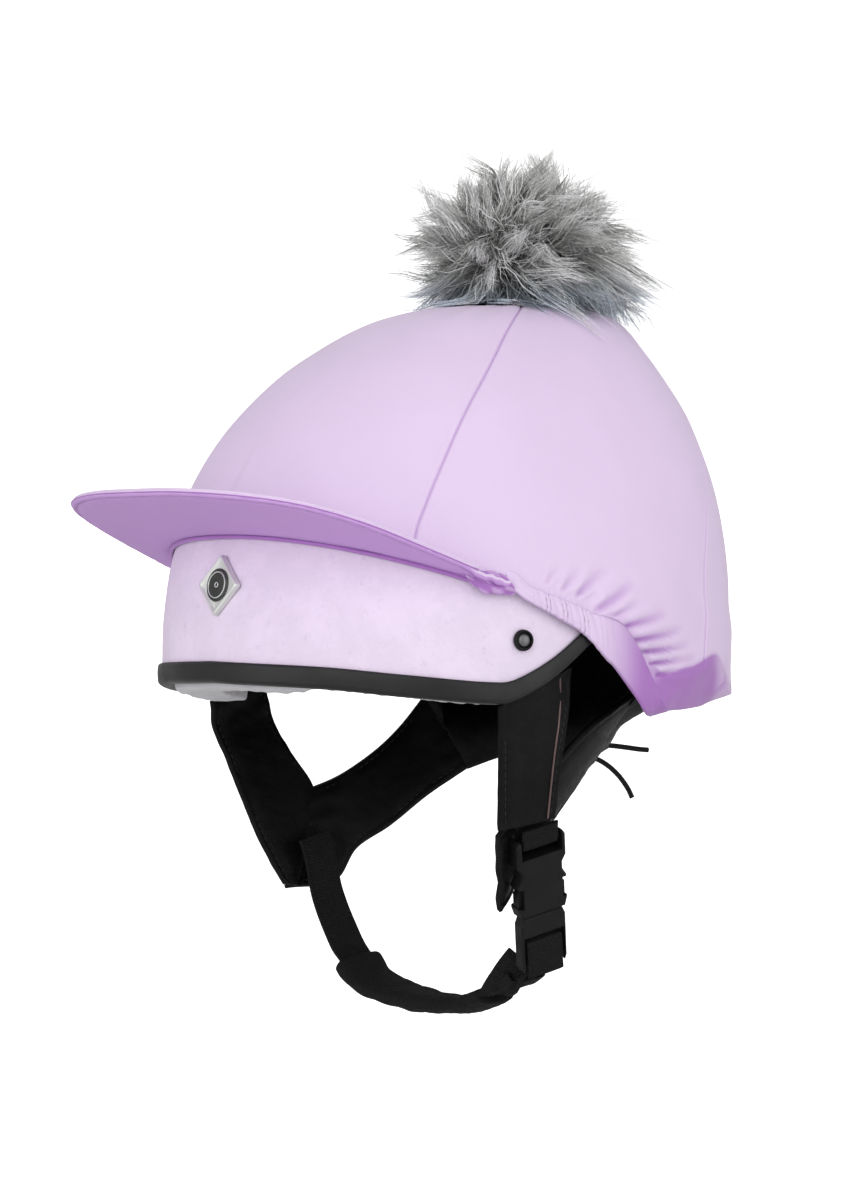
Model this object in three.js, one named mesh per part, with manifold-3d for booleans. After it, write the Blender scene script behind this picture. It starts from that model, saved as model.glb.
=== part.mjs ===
// A riding skull cap in its lilac stretch cover: crown cover with a soft peak and a fur pompom,
// hard shell with rubber edge trim, foam liner, head pad, leather harness and chin strap.
// Millimetres, +Z up, the peak points to -Y and the wearer's left is +X.
import * as THREE from "three";
import { mergeVertices } from "three/addons/utils/BufferGeometryUtils.js";
import Module from "manifold-3d";

const wasm = await Module();
wasm.setup();

// Driving sizes of the cap
const skinLength = 266;
const skinWidth = 217;
const crownHeight = 183.5;
const gap = 0.3;
const nest = 1.3;
const coverWall = 1.4;
const shellWall = 3.5;
const linerWall = 17;
const trimWall = 1.4;
const trimHeight = 9.5;
const trimLeg = 4;
const peakReach = 49;
const peakWall = 3.4;
const peakSlope = 0.3;
const peakPitch = 0.34;
const peakSag = 0.12;
const hemWall = 2;
const hemBelly = 0.9;
const hemRuffle = 0.5;
const hemStart = 69.8;
const tuckDepth = 20;
const gatherDepth = 2.6;
const gatherReach = 42;
const seamDent = 0.35;
const coverTilt = 4;
const bulgeFade = 16;
const coverTurn = 5;
const headPadWall = 6;
const headPadHeight = 30;
const headPadDrop = 2.6;
const headPadEnd = 68;

// Driving sizes of the harness, its buckle and the small parts
const strapWall = 3;
const napeTop = 44;
const napeSeat = 29;
const webWidth = 18.5;
const webWall = 1.6;
const sleeveWidth = 25;
const sleeveThick = 8.5;
const sleeveEnd = 0.75;
const sleeveSides = 12;
const buckleWidth = 24.8;
const buckleThick = 8.4;
const buckleWall = 1.8;
const cheekWall = 2.2;
const socketLength = 37;
const hollowDepth = 17;
const cheekFoot = 5;
const cheekTop = 14.5;
const prongFoot = 2;
const prongTop = 15;
const prongWidth = 3.4;
const ribWidth = 3;
const ribTop = 10;
const barHalf = 1.5;
const barWidth = 3.4;
const slotHeight = 5.4;
const tongueBar = 3;
const tongueBarWidth = 9.5;
const keeperWidth = 8;
const keeperWall = 1.6;
const keeperPlace = [0.4627, 0.0173, -0.6322];
const knotRadius = 3;
const knotPlace = [0.0046, 0.618, -0.1123];
const rivetRadius = 4.6;
const rivetWall = 1.8;
const rivetSag = 0.15;
const rivetAngle = 73.4;
const rivetHeight = 33;
const badgeHeight = 27;
const badgeWall = 2.4;
const badgeSag = -0.2;
const badgeAngle = 1.2;
const badgeCentre = 56.5;
const enamelRadius = 7;
const enamelDepth = 0.8;
const badgeSides = 24;
const pompomWidth = 92;
const pompomHeight = 70;
const pompomBack = 47;
const pompomLift = 22.5;
const pompomRise = crownHeight + pompomLift;
const pompomFloor = 8.5;
const lockLength = 23;
const lockWidth = 24;
const lockCount = 46;
const lockSides = 5;
const lockSeat = 0.74;
const lockSwirl = 0.4;
const lockDroop = 0.3;
const laceDiameter = 2.4;
const laceSides = 6;
const laceSteps = 9;
const keeperLean = [0.8654, 0, 0.501];

const degrees = Math.PI / 180;
const up = new THREE.Vector3(0, 0, 1);
const roundness = 2.25;

// Smooth value of one column of a table, at a place given in the table's "at" column.
function smooth(table, column, at) {
  const last = table.length - 1;
  const place = Math.min(Math.max(at, table[0].at), table[last].at);
  let i = 0;
  while (i < last - 1 && place > table[i + 1].at) i += 1;
  const slope = (k) => {
    const a = table[Math.max(k - 1, 0)];
    const b = table[Math.min(k + 1, last)];
    return (b[column] - a[column]) / (b.at - a.at);
  };
  const [p, q] = [table[i], table[i + 1]];
  const span = q.at - p.at;
  const t = (place - p.at) / span;
  const ease = t * t * (3 - 2 * t);
  const near = t * (1 - t) * (1 - t) * span * slope(i);
  const far = t * t * (1 - t) * span * slope(i + 1);
  return p[column] + (q[column] - p[column]) * ease + near - far;
}

// Level sections of the crown's skin, from the base to the top: height as a share of the crown's,
// lean towards the back as a share of the length, girth as a share of the full size.
const sections = [
  { at: 0, height: -0.12, lean: 0, girth: 0.985 },
  { at: 1, height: -0.02, lean: 0, girth: 1 },
  { at: 2, height: 0.11, lean: 0.001, girth: 1 },
  { at: 3, height: 0.25, lean: 0.003, girth: 0.995 },
  { at: 4, height: 0.392, lean: 0.009, girth: 0.97 },
  { at: 5, height: 0.554, lean: 0.022, girth: 0.907 },
  { at: 6, height: 0.7, lean: 0.041, girth: 0.8 },
  { at: 7, height: 0.81, lean: 0.059, girth: 0.676 },
  { at: 8, height: 0.89, lean: 0.085, girth: 0.555 },
  { at: 9, height: 0.945, lean: 0.112, girth: 0.455 },
  { at: 10, height: 0.977, lean: 0.135, girth: 0.35 },
  { at: 11, height: 0.994, lean: 0.15, girth: 0.2 },
  { at: 12, height: 1, lean: 0.154, girth: 0 },
];
const topSection = sections.length - 1;

// The lower edges round half the cap. "at" is degrees from the front; heights are shares of
// crownHeight and tucks shares of tuckDepth. The rim is the trim's lower edge. The hem is the cover
// band's free edge, the seam its join to the cover, and the corner is where the cover turns under.
const edges = [
  { at: 0, rim: 0.079, hem: 0.302, hemTuck: 0, seam: 0.338, seamTuck: 0, corner: 0.36 },
  { at: 30, rim: 0.068, hem: 0.302, hemTuck: 0, seam: 0.338, seamTuck: 0, corner: 0.36 },
  { at: 50, rim: 0.049, hem: 0.302, hemTuck: 0, seam: 0.338, seamTuck: 0, corner: 0.36 },
  { at: 69, rim: 0.032, hem: 0.302, hemTuck: 0, seam: 0.338, seamTuck: 0, corner: 0.36 },
  { at: 73, rim: 0.044, hem: 0.272, hemTuck: 0, seam: 0.318, seamTuck: 0, corner: 0.345 },
  { at: 80, rim: 0.09, hem: 0.229, hemTuck: 0, seam: 0.289, seamTuck: 0, corner: 0.316 },
  { at: 86, rim: 0.15, hem: 0.185, hemTuck: 0, seam: 0.262, seamTuck: 0, corner: 0.289 },
  { at: 90, rim: 0.2, hem: 0.131, hemTuck: 0, seam: 0.237, seamTuck: 0, corner: 0.267 },
  { at: 93, rim: 0.225, hem: 0.084, hemTuck: 0, seam: 0.207, seamTuck: 0, corner: 0.234 },
  { at: 96, rim: 0.238, hem: 0.048, hemTuck: 0.05, seam: 0.153, seamTuck: 0, corner: 0.185 },
  { at: 99, rim: 0.236, hem: 0.022, hemTuck: 0.2, seam: 0.092, seamTuck: 0, corner: 0.136 },
  { at: 103, rim: 0.222, hem: 0.018, hemTuck: 0.5, seam: 0.04, seamTuck: 0.05, corner: 0.109 },
  { at: 110, rim: 0.185, hem: 0.03, hemTuck: 0.85, seam: 0.03, seamTuck: 0.35, corner: 0.112 },
  { at: 121, rim: 0.16, hem: 0.035, hemTuck: 1, seam: 0.03, seamTuck: 0.5, corner: 0.138 },
  { at: 128, rim: 0.142, hem: 0.036, hemTuck: 1, seam: 0.031, seamTuck: 0.52, corner: 0.1 },
  { at: 136, rim: 0.13, hem: 0.038, hemTuck: 1, seam: 0.034, seamTuck: 0.54, corner: 0.06 },
  { at: 155, rim: 0.125, hem: 0.042, hemTuck: 1, seam: 0.036, seamTuck: 0.55, corner: 0.055 },
  { at: 180, rim: 0.125, hem: 0.045, hemTuck: 1, seam: 0.038, seamTuck: 0.55, corner: 0.055 },
];
const peakEnd = 69;

const folded = (angle) => Math.abs(((((angle + 180) % 360) + 360) % 360) - 180);
// The soft cover hangs a little lower on the left than on the right, behind the ears.
const hangs = (column, angle) => {
  if (column === "rim") return 0;
  const behind = Math.min(Math.max((folded(angle) - 84) / 20, 0), 1);
  return coverTilt * behind * Math.sin(angle * degrees);
};
const edgeHeight = (column, angle) =>
  smooth(edges, column, folded(angle)) * crownHeight - hangs(column, angle);
const edgeTuck = (column, angle) => smooth(edges, column, folded(angle)) * tuckDepth;

// A point of the crown's skin: angle in degrees from the front towards +X, place in the sections.
function skinPoint(angle, at) {
  const girth = smooth(sections, "girth", at);
  const c = Math.cos(angle * degrees);
  const s = Math.sin(angle * degrees);
  const power = 2 / roundness;
  const x = Math.sign(s) * Math.abs(s) ** power * (skinWidth / 2) * girth;
  const y = -Math.sign(c) * Math.abs(c) ** power * (skinLength / 2) * girth;
  const lean = smooth(sections, "lean", at) * skinLength;
  return new THREE.Vector3(x, y + lean, smooth(sections, "height", at) * crownHeight);
}

function skinNormal(angle, at) {
  if (at > topSection - 0.02) return up.clone();
  const turn = skinPoint(angle + 1, at).sub(skinPoint(angle - 1, at));
  const rise = skinPoint(angle, at + 0.01).sub(skinPoint(angle, Math.max(at - 0.01, 0)));
  return turn.cross(rise).normalize();
}

// The place in the sections where the skin is at a height.
function placeAt(height) {
  let [low, high] = [0, topSection];
  for (let i = 0; i < 40; i += 1) {
    const middle = (low + high) / 2;
    if (smooth(sections, "height", middle) * crownHeight < height) low = middle;
    else high = middle;
  }
  return (low + high) / 2;
}

const under = (angle, at, depth) =>
  skinPoint(angle, at).addScaledVector(skinNormal(angle, at), -depth);
const mix = (a, b, t) => a + (b - a) * t;
const steps = (from, to, count) =>
  Array.from({ length: count + 1 }, (_, i) => mix(from, to, i / count));

// Makes a BufferGeometry from points and triangles.
function surface(points, triangles) {
  const geometry = new THREE.BufferGeometry();
  const flat = new Float32Array(points.flatMap((p) => [p.x, p.y, p.z]));
  geometry.setAttribute("position", new THREE.BufferAttribute(flat, 3));
  const volume = triangles.reduce((sum, [a, b, c]) => {
    const normal = points[b].clone().cross(points[c]);
    return sum + points[a].dot(normal);
  }, 0);
  const facing = volume < 0 ? triangles.map(([a, b, c]) => [a, c, b]) : triangles;
  geometry.setIndex(facing.flat());
  geometry.computeVertexNormals();
  return geometry;
}

// A solid between two grids of points, front[column][row] outside and back[column][row] inside.
// A ring joins its last column to its first; with a top, the last row is one point.
function between(front, back, { ring = false, top = false } = {}) {
  const columns = front.length;
  const rows = front[0].length;
  const points = [];
  const ids = new Map();
  const id = (side, column, row) => {
    const i = ring ? (column + columns) % columns : column;
    const key = `${side},${top && row === rows - 1 ? 0 : i},${row}`;
    if (!ids.has(key)) {
      ids.set(key, points.length);
      points.push((side ? back : front)[top && row === rows - 1 ? 0 : i][row]);
    }
    return ids.get(key);
  };
  const triangles = [];
  const add = (a, b, c) => {
    if (a !== b && b !== c && c !== a) triangles.push([a, b, c]);
  };
  const quad = (a, b, c, d) => {
    add(a, b, c);
    add(a, c, d);
  };
  const last = ring ? columns : columns - 1;
  for (let i = 0; i < last; i += 1) {
    for (let j = 0; j < rows - 1; j += 1) {
      quad(id(0, i, j), id(0, i + 1, j), id(0, i + 1, j + 1), id(0, i, j + 1));
      quad(id(1, i, j), id(1, i, j + 1), id(1, i + 1, j + 1), id(1, i + 1, j));
    }
    quad(id(0, i, 0), id(1, i, 0), id(1, i + 1, 0), id(0, i + 1, 0));
    if (!top) {
      const j = rows - 1;
      quad(id(0, i, j), id(0, i + 1, j), id(1, i + 1, j), id(1, i, j));
    }
  }
  if (!ring) {
    for (let j = 0; j < rows - 1; j += 1) {
      quad(id(0, 0, j), id(0, 0, j + 1), id(1, 0, j + 1), id(1, 0, j));
      const i = columns - 1;
      quad(id(0, i, j), id(1, i, j), id(1, i, j + 1), id(0, i, j + 1));
    }
  }
  return surface(points, triangles);
}

// Normals of a grid of points, with columns that may close into a ring.
function gridNormals(grid, ring) {
  const n = grid.length;
  const at = (i) => grid[ring ? (i + n) % n : Math.min(Math.max(i, 0), n - 1)];
  return grid.map((column, i) =>
    column.map((_, j) => {
      const turn = at(i + 1)[j].clone().sub(at(i - 1)[j]);
      const above = column[Math.min(j + 1, column.length - 1)];
      const rise = above.clone().sub(column[Math.max(j - 1, 0)]);
      const normal = turn.cross(rise);
      return normal.lengthSq() < 1e-9 ? up.clone() : normal.normalize();
    }),
  );
}

// The grid moved inwards along its normals by a wall.
function inward(grid, wall, ring = false) {
  const normals = gridNormals(grid, ring);
  return grid.map((column, i) =>
    column.map((p, j) => p.clone().addScaledVector(normals[i][j], -wall)),
  );
}

// A solid swept through closed loops of points, with flat ends unless it is a ring.
function sweep(loops, ring = false) {
  const count = loops[0].length;
  const points = loops.flat();
  const triangles = [];
  const last = ring ? loops.length : loops.length - 1;
  for (let i = 0; i < last; i += 1) {
    const a = i * count;
    const b = ((i + 1) % loops.length) * count;
    for (let k = 0; k < count; k += 1) {
      const l = (k + 1) % count;
      triangles.push([a + k, b + k, b + l], [a + k, b + l, a + l]);
    }
  }
  if (!ring) {
    const end = (loops.length - 1) * count;
    for (let k = 1; k < count - 1; k += 1) {
      triangles.push([0, k, k + 1]);
      triangles.push([end, end + k + 1, end + k]);
    }
  }
  return surface(points, triangles);
}

// Joins and cuts with manifold-3d
function solid(geometry) {
  const bare = geometry.clone();
  bare.deleteAttribute("normal");
  bare.deleteAttribute("uv");
  const merged = mergeVertices(bare, 1e-4);
  const made = new wasm.Manifold(
    new wasm.Mesh({
      numProp: 3,
      vertProperties: merged.attributes.position.array,
      triVerts: new Uint32Array(merged.index.array),
    }),
  );
  return made;
}

function geometryOf(made) {
  const mesh = made.getMesh();
  const geometry = new THREE.BufferGeometry();
  const flat = new Float32Array(mesh.vertProperties);
  geometry.setAttribute("position", new THREE.BufferAttribute(flat, 3));
  geometry.setIndex(Array.from(mesh.triVerts));
  geometry.computeVertexNormals();
  return geometry;
}

const finishes = {
  silk: { color: 0xe3d3ee, roughness: 0.55, metalness: 0 },
  suede: { color: 0xe9dbf1, roughness: 0.9, metalness: 0 },
  rubber: { color: 0x232324, roughness: 0.45, metalness: 0 },
  foam: { color: 0x141416, roughness: 0.85, metalness: 0 },
  satin: { color: 0xcfcdd2, roughness: 0.4, metalness: 0 },
  leather: { color: 0x1a1a1b, roughness: 0.5, metalness: 0 },
  webbing: { color: 0x1c1b1c, roughness: 0.85, metalness: 0 },
  plastic: { color: 0x222223, roughness: 0.4, metalness: 0 },
  gunmetal: { color: 0x6f6f72, roughness: 0.3, metalness: 1 },
  silver: { color: 0xc9cbc8, roughness: 0.25, metalness: 1 },
  enamel: { color: 0x1d1f1c, roughness: 0.25, metalness: 0 },
  fur: { color: 0x8b8b8b, roughness: 0.9, metalness: 0 },
};

const cap = new THREE.Group();

function piece(name, geometry, finish, parent = cap) {
  const mesh = new THREE.Mesh(geometry, new THREE.MeshStandardMaterial(finishes[finish]));
  mesh.name = name;
  parent.add(mesh);
  return mesh;
}

// The peak's root lies in a plane that rises to the front.
const peakEndPoint = skinPoint(peakEnd, placeAt(edgeHeight("seam", peakEnd)));
const peakHeight = (y) => edgeHeight("hem", peakEnd) + peakSlope * (peakEndPoint.y - y);

// Where the peak's plane meets the skin, at an angle.
function junction(angle) {
  let height = peakHeight(peakEndPoint.y);
  for (let i = 0; i < 12; i += 1) height = peakHeight(skinPoint(angle, placeAt(height)).y);
  return height;
}

// Angles of a whole turn, in even parts.
const roundTurn = (count) => steps(0, 360, count).slice(0, -1);

// Angles of half a turn, mirrored to a whole one.
const fullTurn = (half) => [
  ...half,
  ...half.slice(1, -1).reverse().map((angle) => 360 - angle),
];

// Crown cover

// Gathers at the cover's hem: degrees from the front, half width in degrees, and shares of
// gatherDepth and gatherReach. Slant leans a fold to the back as it rises, in degrees.
const gathers = [
  { at: 75, half: 2.6, depth: 0.35, reach: 0.5, slant: 3 },
  { at: 80, half: 2.4, depth: 0.6, reach: 0.7, slant: 4 },
  { at: 85, half: 2.5, depth: 0.8, reach: 0.8, slant: 5 },
  { at: 90, half: 2.4, depth: 1, reach: 0.95, slant: 7 },
  { at: 94.5, half: 2.2, depth: 0.9, reach: 0.9, slant: 9 },
  { at: 98.5, half: 2, depth: 0.8, reach: 1, slant: 10 },
  { at: 102.5, half: 2, depth: 0.65, reach: 0.9, slant: 10 },
  { at: 107, half: 2.2, depth: 0.4, reach: 0.7, slant: 8 },
  { at: 130, half: 3.5, depth: 0.3, reach: 0.5, slant: 2 },
  { at: 152, half: 3.5, depth: 0.3, reach: 0.5, slant: 0 },
  { at: 172, half: 3.5, depth: 0.3, reach: 0.5, slant: 0 },
];
const panelSeams = [50, 128];

function gatherRidge(angle, rise) {
  return gathers.reduce((sum, fold) => {
    const reach = fold.reach * gatherReach;
    const fade = Math.max(0, 1 - rise / reach);
    const off = (angle - fold.at - fold.slant * (rise / reach)) / fold.half;
    return sum + fold.depth * gatherDepth * fade * fade * Math.exp(-off * off);
  }, 0);
}

const coverAngles = [
  ...steps(0, 48, 5),
  50,
  ...steps(52, 66, 2),
  ...steps(69, 109, 16),
  ...steps(115, 126, 2),
  128,
  ...steps(130, 180, 6),
];
const coverRows = 9;

// How far the cover stands out to clear the trim, at an angle and a height.
function trimBulge(angle, height) {
  const top = edgeHeight("rim", angle) + trimHeight;
  const foot = edgeHeight("seam", angle);
  const meets = Math.min(Math.max((top + bulgeFade / 2 - foot) / (bulgeFade / 2), 0), 1);
  const fade = Math.min(Math.max((height - top - 1) / bulgeFade, 0), 1);
  return (trimWall + gap) * meets * (1 - fade);
}

// The cover's path at an angle, from its lower seam up over the corner to the top.
function coverPath(angle, dent) {
  const side = folded(angle);
  const front = side < peakEnd;
  const root = junction(side) + peakWall / 2 + coverWall / 2 + gap;
  const foot = front ? root : edgeHeight("seam", angle);
  const tuck = front ? 0 : edgeTuck("seamTuck", side);
  const corner = front ? foot + coverTurn : edgeHeight("corner", angle);
  const bulge = (height) => (front ? 0 : trimBulge(angle, height));
  const start = placeAt(corner);
  const path = [
    under(angle, placeAt(foot), tuck - bulge(foot)),
    under(angle, placeAt(mix(foot, corner, 0.55)), mix(tuck, 0, 0.6) - bulge(foot)),
    under(angle, start, -bulge(corner)),
  ];
  for (const at of steps(start, topSection, coverRows).slice(1)) {
    const height = smooth(sections, "height", at) * crownHeight;
    const fold = side > peakEnd ? gatherRidge(side, height - corner) : 0;
    const groove = at > topSection - 1.2 ? 0 : dent;
    path.push(under(angle, at, groove - fold - bulge(height)));
  }
  return path;
}

function cover() {
  const angles = fullTurn(coverAngles);
  const plain = angles.map((angle) => coverPath(angle, 0));
  const outer = angles.map((angle) =>
    coverPath(angle, panelSeams.includes(folded(angle)) ? seamDent : 0),
  );
  return between(outer, inward(plain, coverWall, true), { ring: true, top: true });
}

// Shell, trim, liner and head pad

const shellDepth = coverWall + nest;
const linerDepth = shellDepth + shellWall + 2 * gap;
const headDepth = linerDepth + linerWall + 2 * gap;
const rimAngles = fullTurn([...steps(0, 60, 5), ...steps(68, 108, 8), ...steps(120, 180, 4)]);
const crownRows = 7;

function wallPath(angle, depth, foot) {
  return steps(placeAt(foot), topSection, crownRows).map((at) => under(angle, at, depth));
}

function dome(depth, wall, lift) {
  const foot = (angle) => edgeHeight("rim", angle) + lift;
  const outer = rimAngles.map((angle) => wallPath(angle, depth, foot(angle)));
  const inner = rimAngles.map((angle) => wallPath(angle, depth + wall, foot(angle)));
  return between(outer, inner, { ring: true, top: true });
}

// Loops of a profile, given as depth under the skin and height over the rim, at angles.
function rimLoops(angles, profile) {
  return angles.map((angle) => {
    const rim = edgeHeight("rim", angle);
    return profile.map(([depth, height]) => under(angle, placeAt(rim + height), depth));
  });
}

// A channel that clasps the shell's edge all round.
function trim() {
  const outside = shellDepth - gap - trimWall;
  const inside = linerDepth + trimWall;
  const round = trimWall * 0.6;
  return sweep(
    rimLoops(rimAngles, [
      [outside, trimWall * 1.6],
      [outside + round, round / 2],
      [(outside + inside) / 2, 0],
      [inside - round, round / 2],
      [inside, trimWall * 1.6],
      [inside, trimLeg],
      [inside - trimWall, trimLeg],
      [inside - trimWall, trimWall],
      [outside + trimWall, trimWall],
      [outside + trimWall, trimHeight],
      [outside, trimHeight - round / 2],
    ]),
    true,
  );
}

// Satin-faced pad: its foot lies under the liner's edge and its wall against the liner.
function headPad() {
  const start = linerDepth + trimWall + 2 * gap;
  const middle = (start + headDepth) / 2;
  const foot = trimLeg;
  return sweep(
    rimLoops([...steps(-60, 60, 10), headPadEnd], [
      [start, foot],
      [start, 0],
      [start + headPadDrop / 2, -headPadDrop * 0.6],
      [middle, -headPadDrop],
      [headDepth + headPadWall / 2, -headPadDrop * 0.8],
      [headDepth + headPadWall, 0],
      [headDepth + headPadWall, headPadHeight * 0.85],
      [headDepth + headPadWall / 2, headPadHeight],
      [headDepth, headPadHeight],
      [headDepth, foot],
    ]),
  );
}

// Peak

// Reach of the peak out from the skin, as a share of peakReach.
const peakShares = [
  { at: 0, reach: 1 },
  { at: 10, reach: 1 },
  { at: 20, reach: 0.94 },
  { at: 30, reach: 0.81 },
  { at: 40, reach: 0.6 },
  { at: 50, reach: 0.36 },
  { at: 60, reach: 0.19 },
  { at: 66, reach: 0.115 },
  { at: 69, reach: 0.08 },
];

function peak() {
  const columns = steps(-peakEnd, peakEnd, 28).map((angle) => {
    const side = folded(angle);
    const at = placeAt(junction(side));
    const level = skinNormal(angle, at).setZ(0).normalize();
    const reach = smooth(peakShares, "reach", side) * peakReach;
    return [1, 0.66, 0.33, 0].map((share) =>
      under(angle, at, shellDepth - gap)
        .addScaledVector(level, (reach + shellDepth) * share)
        .addScaledVector(up, reach * share * peakPitch * (1 - peakSag * (1 - share))),
    );
  });
  return ribbon(columns, peakWall, [0.7, 1, 1, 1]);
}

// A solid of even thickness about a grid of points, with a share of the thickness for each row.
function ribbon(grid, wall, shares) {
  const normals = gridNormals(grid, false);
  const side = (sign) =>
    grid.map((column, i) =>
      column.map((p, j) =>
        p.clone().addScaledVector(normals[i][j], (sign * wall * (shares ? shares[j] : 1)) / 2),
      ),
    );
  return between(side(1), side(-1));
}

// Elastic band round the cover's lower edge, from one end of the peak to the other by the back.
function hemBand() {
  const half = [...steps(hemStart, 112, 20), ...steps(120, 180, 6)];
  const angles = [...half, ...half.slice(0, -1).reverse().map((angle) => 360 - angle)];
  const grid = angles.map((angle, i) => {
    const side = folded(angle);
    const wave = side < 112 && i % 2 ? hemRuffle : 0;
    const top = edgeHeight("seam", angle) - nest;
    const foot = edgeHeight("hem", angle);
    return [0, 0.5, 1].map((share) => {
      const tuck = mix(edgeTuck("hemTuck", side), edgeTuck("seamTuck", side), share);
      const belly = hemBelly * 4 * share * (1 - share);
      return under(angle, placeAt(mix(foot, top, share)), tuck - gap - hemWall / 2 - belly - wave);
    });
  });
  return ribbon(grid, hemWall, [0.6, 1, 0.6]);
}

// Small parts on the shell

// Turns a part made about +Z so that it stands out from the shell at a place.
function standOn(part, angle, height, lift) {
  const at = placeAt(height);
  const normal = skinNormal(angle, at);
  const side = new THREE.Vector3().crossVectors(up, normal).normalize();
  const top = new THREE.Vector3().crossVectors(normal, side);
  part.quaternion.setFromRotationMatrix(new THREE.Matrix4().makeBasis(side, top, normal));
  part.position.copy(under(angle, at, shellDepth - lift));
}

function turned(profile, segments = 16) {
  const points = profile.map(([radius, height]) => new THREE.Vector2(radius, height));
  const geometry = new THREE.LatheGeometry(points, segments);
  return geometryOf(solid(geometry.rotateX(90 * degrees)));
}

function rivet(side, angle) {
  const holder = new THREE.Group();
  cap.add(holder);
  standOn(holder, angle, rivetHeight, gap + rivetSag);
  const hole = rivetRadius * 0.68;
  const bore = hole + gap;
  piece(
    `rivet_ring_${side}`,
    turned([
      [bore, 0],
      [rivetRadius, 0],
      [rivetRadius, rivetWall * 0.5],
      [rivetRadius - 0.5, rivetWall],
      [bore + 0.4, rivetWall],
      [bore, rivetWall * 0.6],
      [bore, 0],
    ]),
    "plastic",
    holder,
  );
  piece(
    `rivet_cap_${side}`,
    turned([
      [0, 0],
      [hole, 0],
      [hole, rivetWall * 0.5],
      [hole * 0.8, rivetWall * 0.95],
      [hole * 0.45, rivetWall * 1.25],
      [0, rivetWall * 1.35],
    ]),
    "gunmetal",
    holder,
  );
}

// Diamond plate with a raised edge, and a round enamel set in it.
function badge() {
  const holder = new THREE.Group();
  cap.add(holder);
  standOn(holder, badgeAngle, badgeCentre, gap + badgeSag);
  const half = badgeHeight / 2;
  const diamond = (r) =>
    new THREE.Shape([
      new THREE.Vector2(0, -r),
      new THREE.Vector2(r, 0),
      new THREE.Vector2(0, r),
      new THREE.Vector2(-r, 0),
    ]);
  const bevel = { bevelThickness: 0.7, bevelSize: 0.9, bevelOffset: -0.9, bevelSegments: 1 };
  const blank = new THREE.ExtrudeGeometry(diamond(half), { depth: badgeWall - 0.7, ...bevel });
  const slab = new THREE.BoxGeometry(badgeHeight * 2, badgeHeight * 2, badgeWall);
  const keep = solid(slab.translate(0, 0, badgeWall / 2));
  const bore = enamelRadius + gap;
  const pocket = new THREE.CylinderGeometry(bore, bore, badgeWall, badgeSides);
  pocket.rotateX(90 * degrees).translate(0, 0, badgeWall + badgeWall / 2 - enamelDepth);
  const plate = solid(blank).intersect(keep).subtract(solid(pocket));
  piece("badge_plate", geometryOf(plate), "silver", holder);
  const enamel = turned(
    [
      [0, 0],
      [enamelRadius, 0],
      [enamelRadius, enamelDepth],
      [enamelRadius * 0.85, enamelDepth + 0.3],
      [0, enamelDepth + 0.6],
    ],
    badgeSides,
  );
  piece("badge_enamel", enamel, "enamel", holder).position.z = badgeWall - enamelDepth + gap;
}

// Pompom: locks of fur fused to a round head

function pompom() {
  const radii = new THREE.Vector3(pompomWidth / 2, pompomWidth / 2, pompomHeight / 2);
  const head = new THREE.IcosahedronGeometry(1, 2).scale(radii.x, radii.y, radii.z);
  let fused = solid(head);
  const golden = 137.508 * degrees;
  for (let i = 0; i < lockCount; i += 1) {
    const level = 0.96 - (1.62 * i) / lockCount;
    const round = Math.sqrt(1 - level * level);
    const turn = golden * i;
    const out = new THREE.Vector3(round * Math.cos(turn), round * Math.sin(turn), level);
    const seat = out.clone().multiply(radii).multiplyScalar(lockSeat);
    const swirl = new THREE.Vector3(-out.y, out.x, 0).multiplyScalar(lockSwirl);
    const droop = new THREE.Vector3(0, 0, -lockDroop * (1 - level));
    const lean = out.clone().add(swirl).add(droop).normalize();
    const length = lockLength * (1 + 0.22 * Math.sin(i * 2.4));
    const lock = new THREE.ConeGeometry(lockWidth / 2, length, lockSides, 1);
    const aim = new THREE.Quaternion().setFromUnitVectors(new THREE.Vector3(0, 1, 0), lean);
    lock.translate(0, length / 2, 0).applyQuaternion(aim).translate(seat.x, seat.y, seat.z);
    fused = fused.add(solid(lock));
  }
  return geometryOf(fused.translate(0, pompomBack, pompomRise).subtract(crownRoom()));
}

// The crown with the gap round it, that the pompom sits over.
function crownRoom() {
  const angles = roundTurn(36);
  const outer = angles.map((angle) =>
    steps(pompomFloor, topSection, 8).map((at) => under(angle, at, -gap)),
  );
  const inner = angles.map((angle) =>
    steps(pompomFloor, topSection, 8).map((at) => under(angle, at, pompomHeight / 2)),
  );
  return solid(between(outer, inner, { ring: true, top: true }));
}

// Harness

const vector = ([x, y, z]) => new THREE.Vector3(x, y, z);
// A place of the harness, given as shares of half the width, half the length and crownHeight.
const place = ([x, y, z]) =>
  vector([(x * skinWidth) / 2, (y * skinLength) / 2, z * crownHeight]);
const across = (rows, count) =>
  rows.map(({ front, rear }) =>
    steps(0, 1, count).map((t) => place(front).lerp(place(rear), t)),
  );
// Rows added between the given ones along a smooth line through them.
function smoothRows(grid, extra) {
  const lines = grid[0].map((_, j) => new THREE.CatmullRomCurve3(grid.map((row) => row[j])));
  return steps(0, 1, (grid.length - 1) * extra).map((t) => lines.map((line) => line.getPoint(t)));
}

const leatherShares = [0.55, 1, 1, 1, 0.55];
const leather = (rows, extra = 2) =>
  ribbon(smoothRows(across(rows, leatherShares.length - 1), extra), strapWall, leatherShares);

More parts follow.
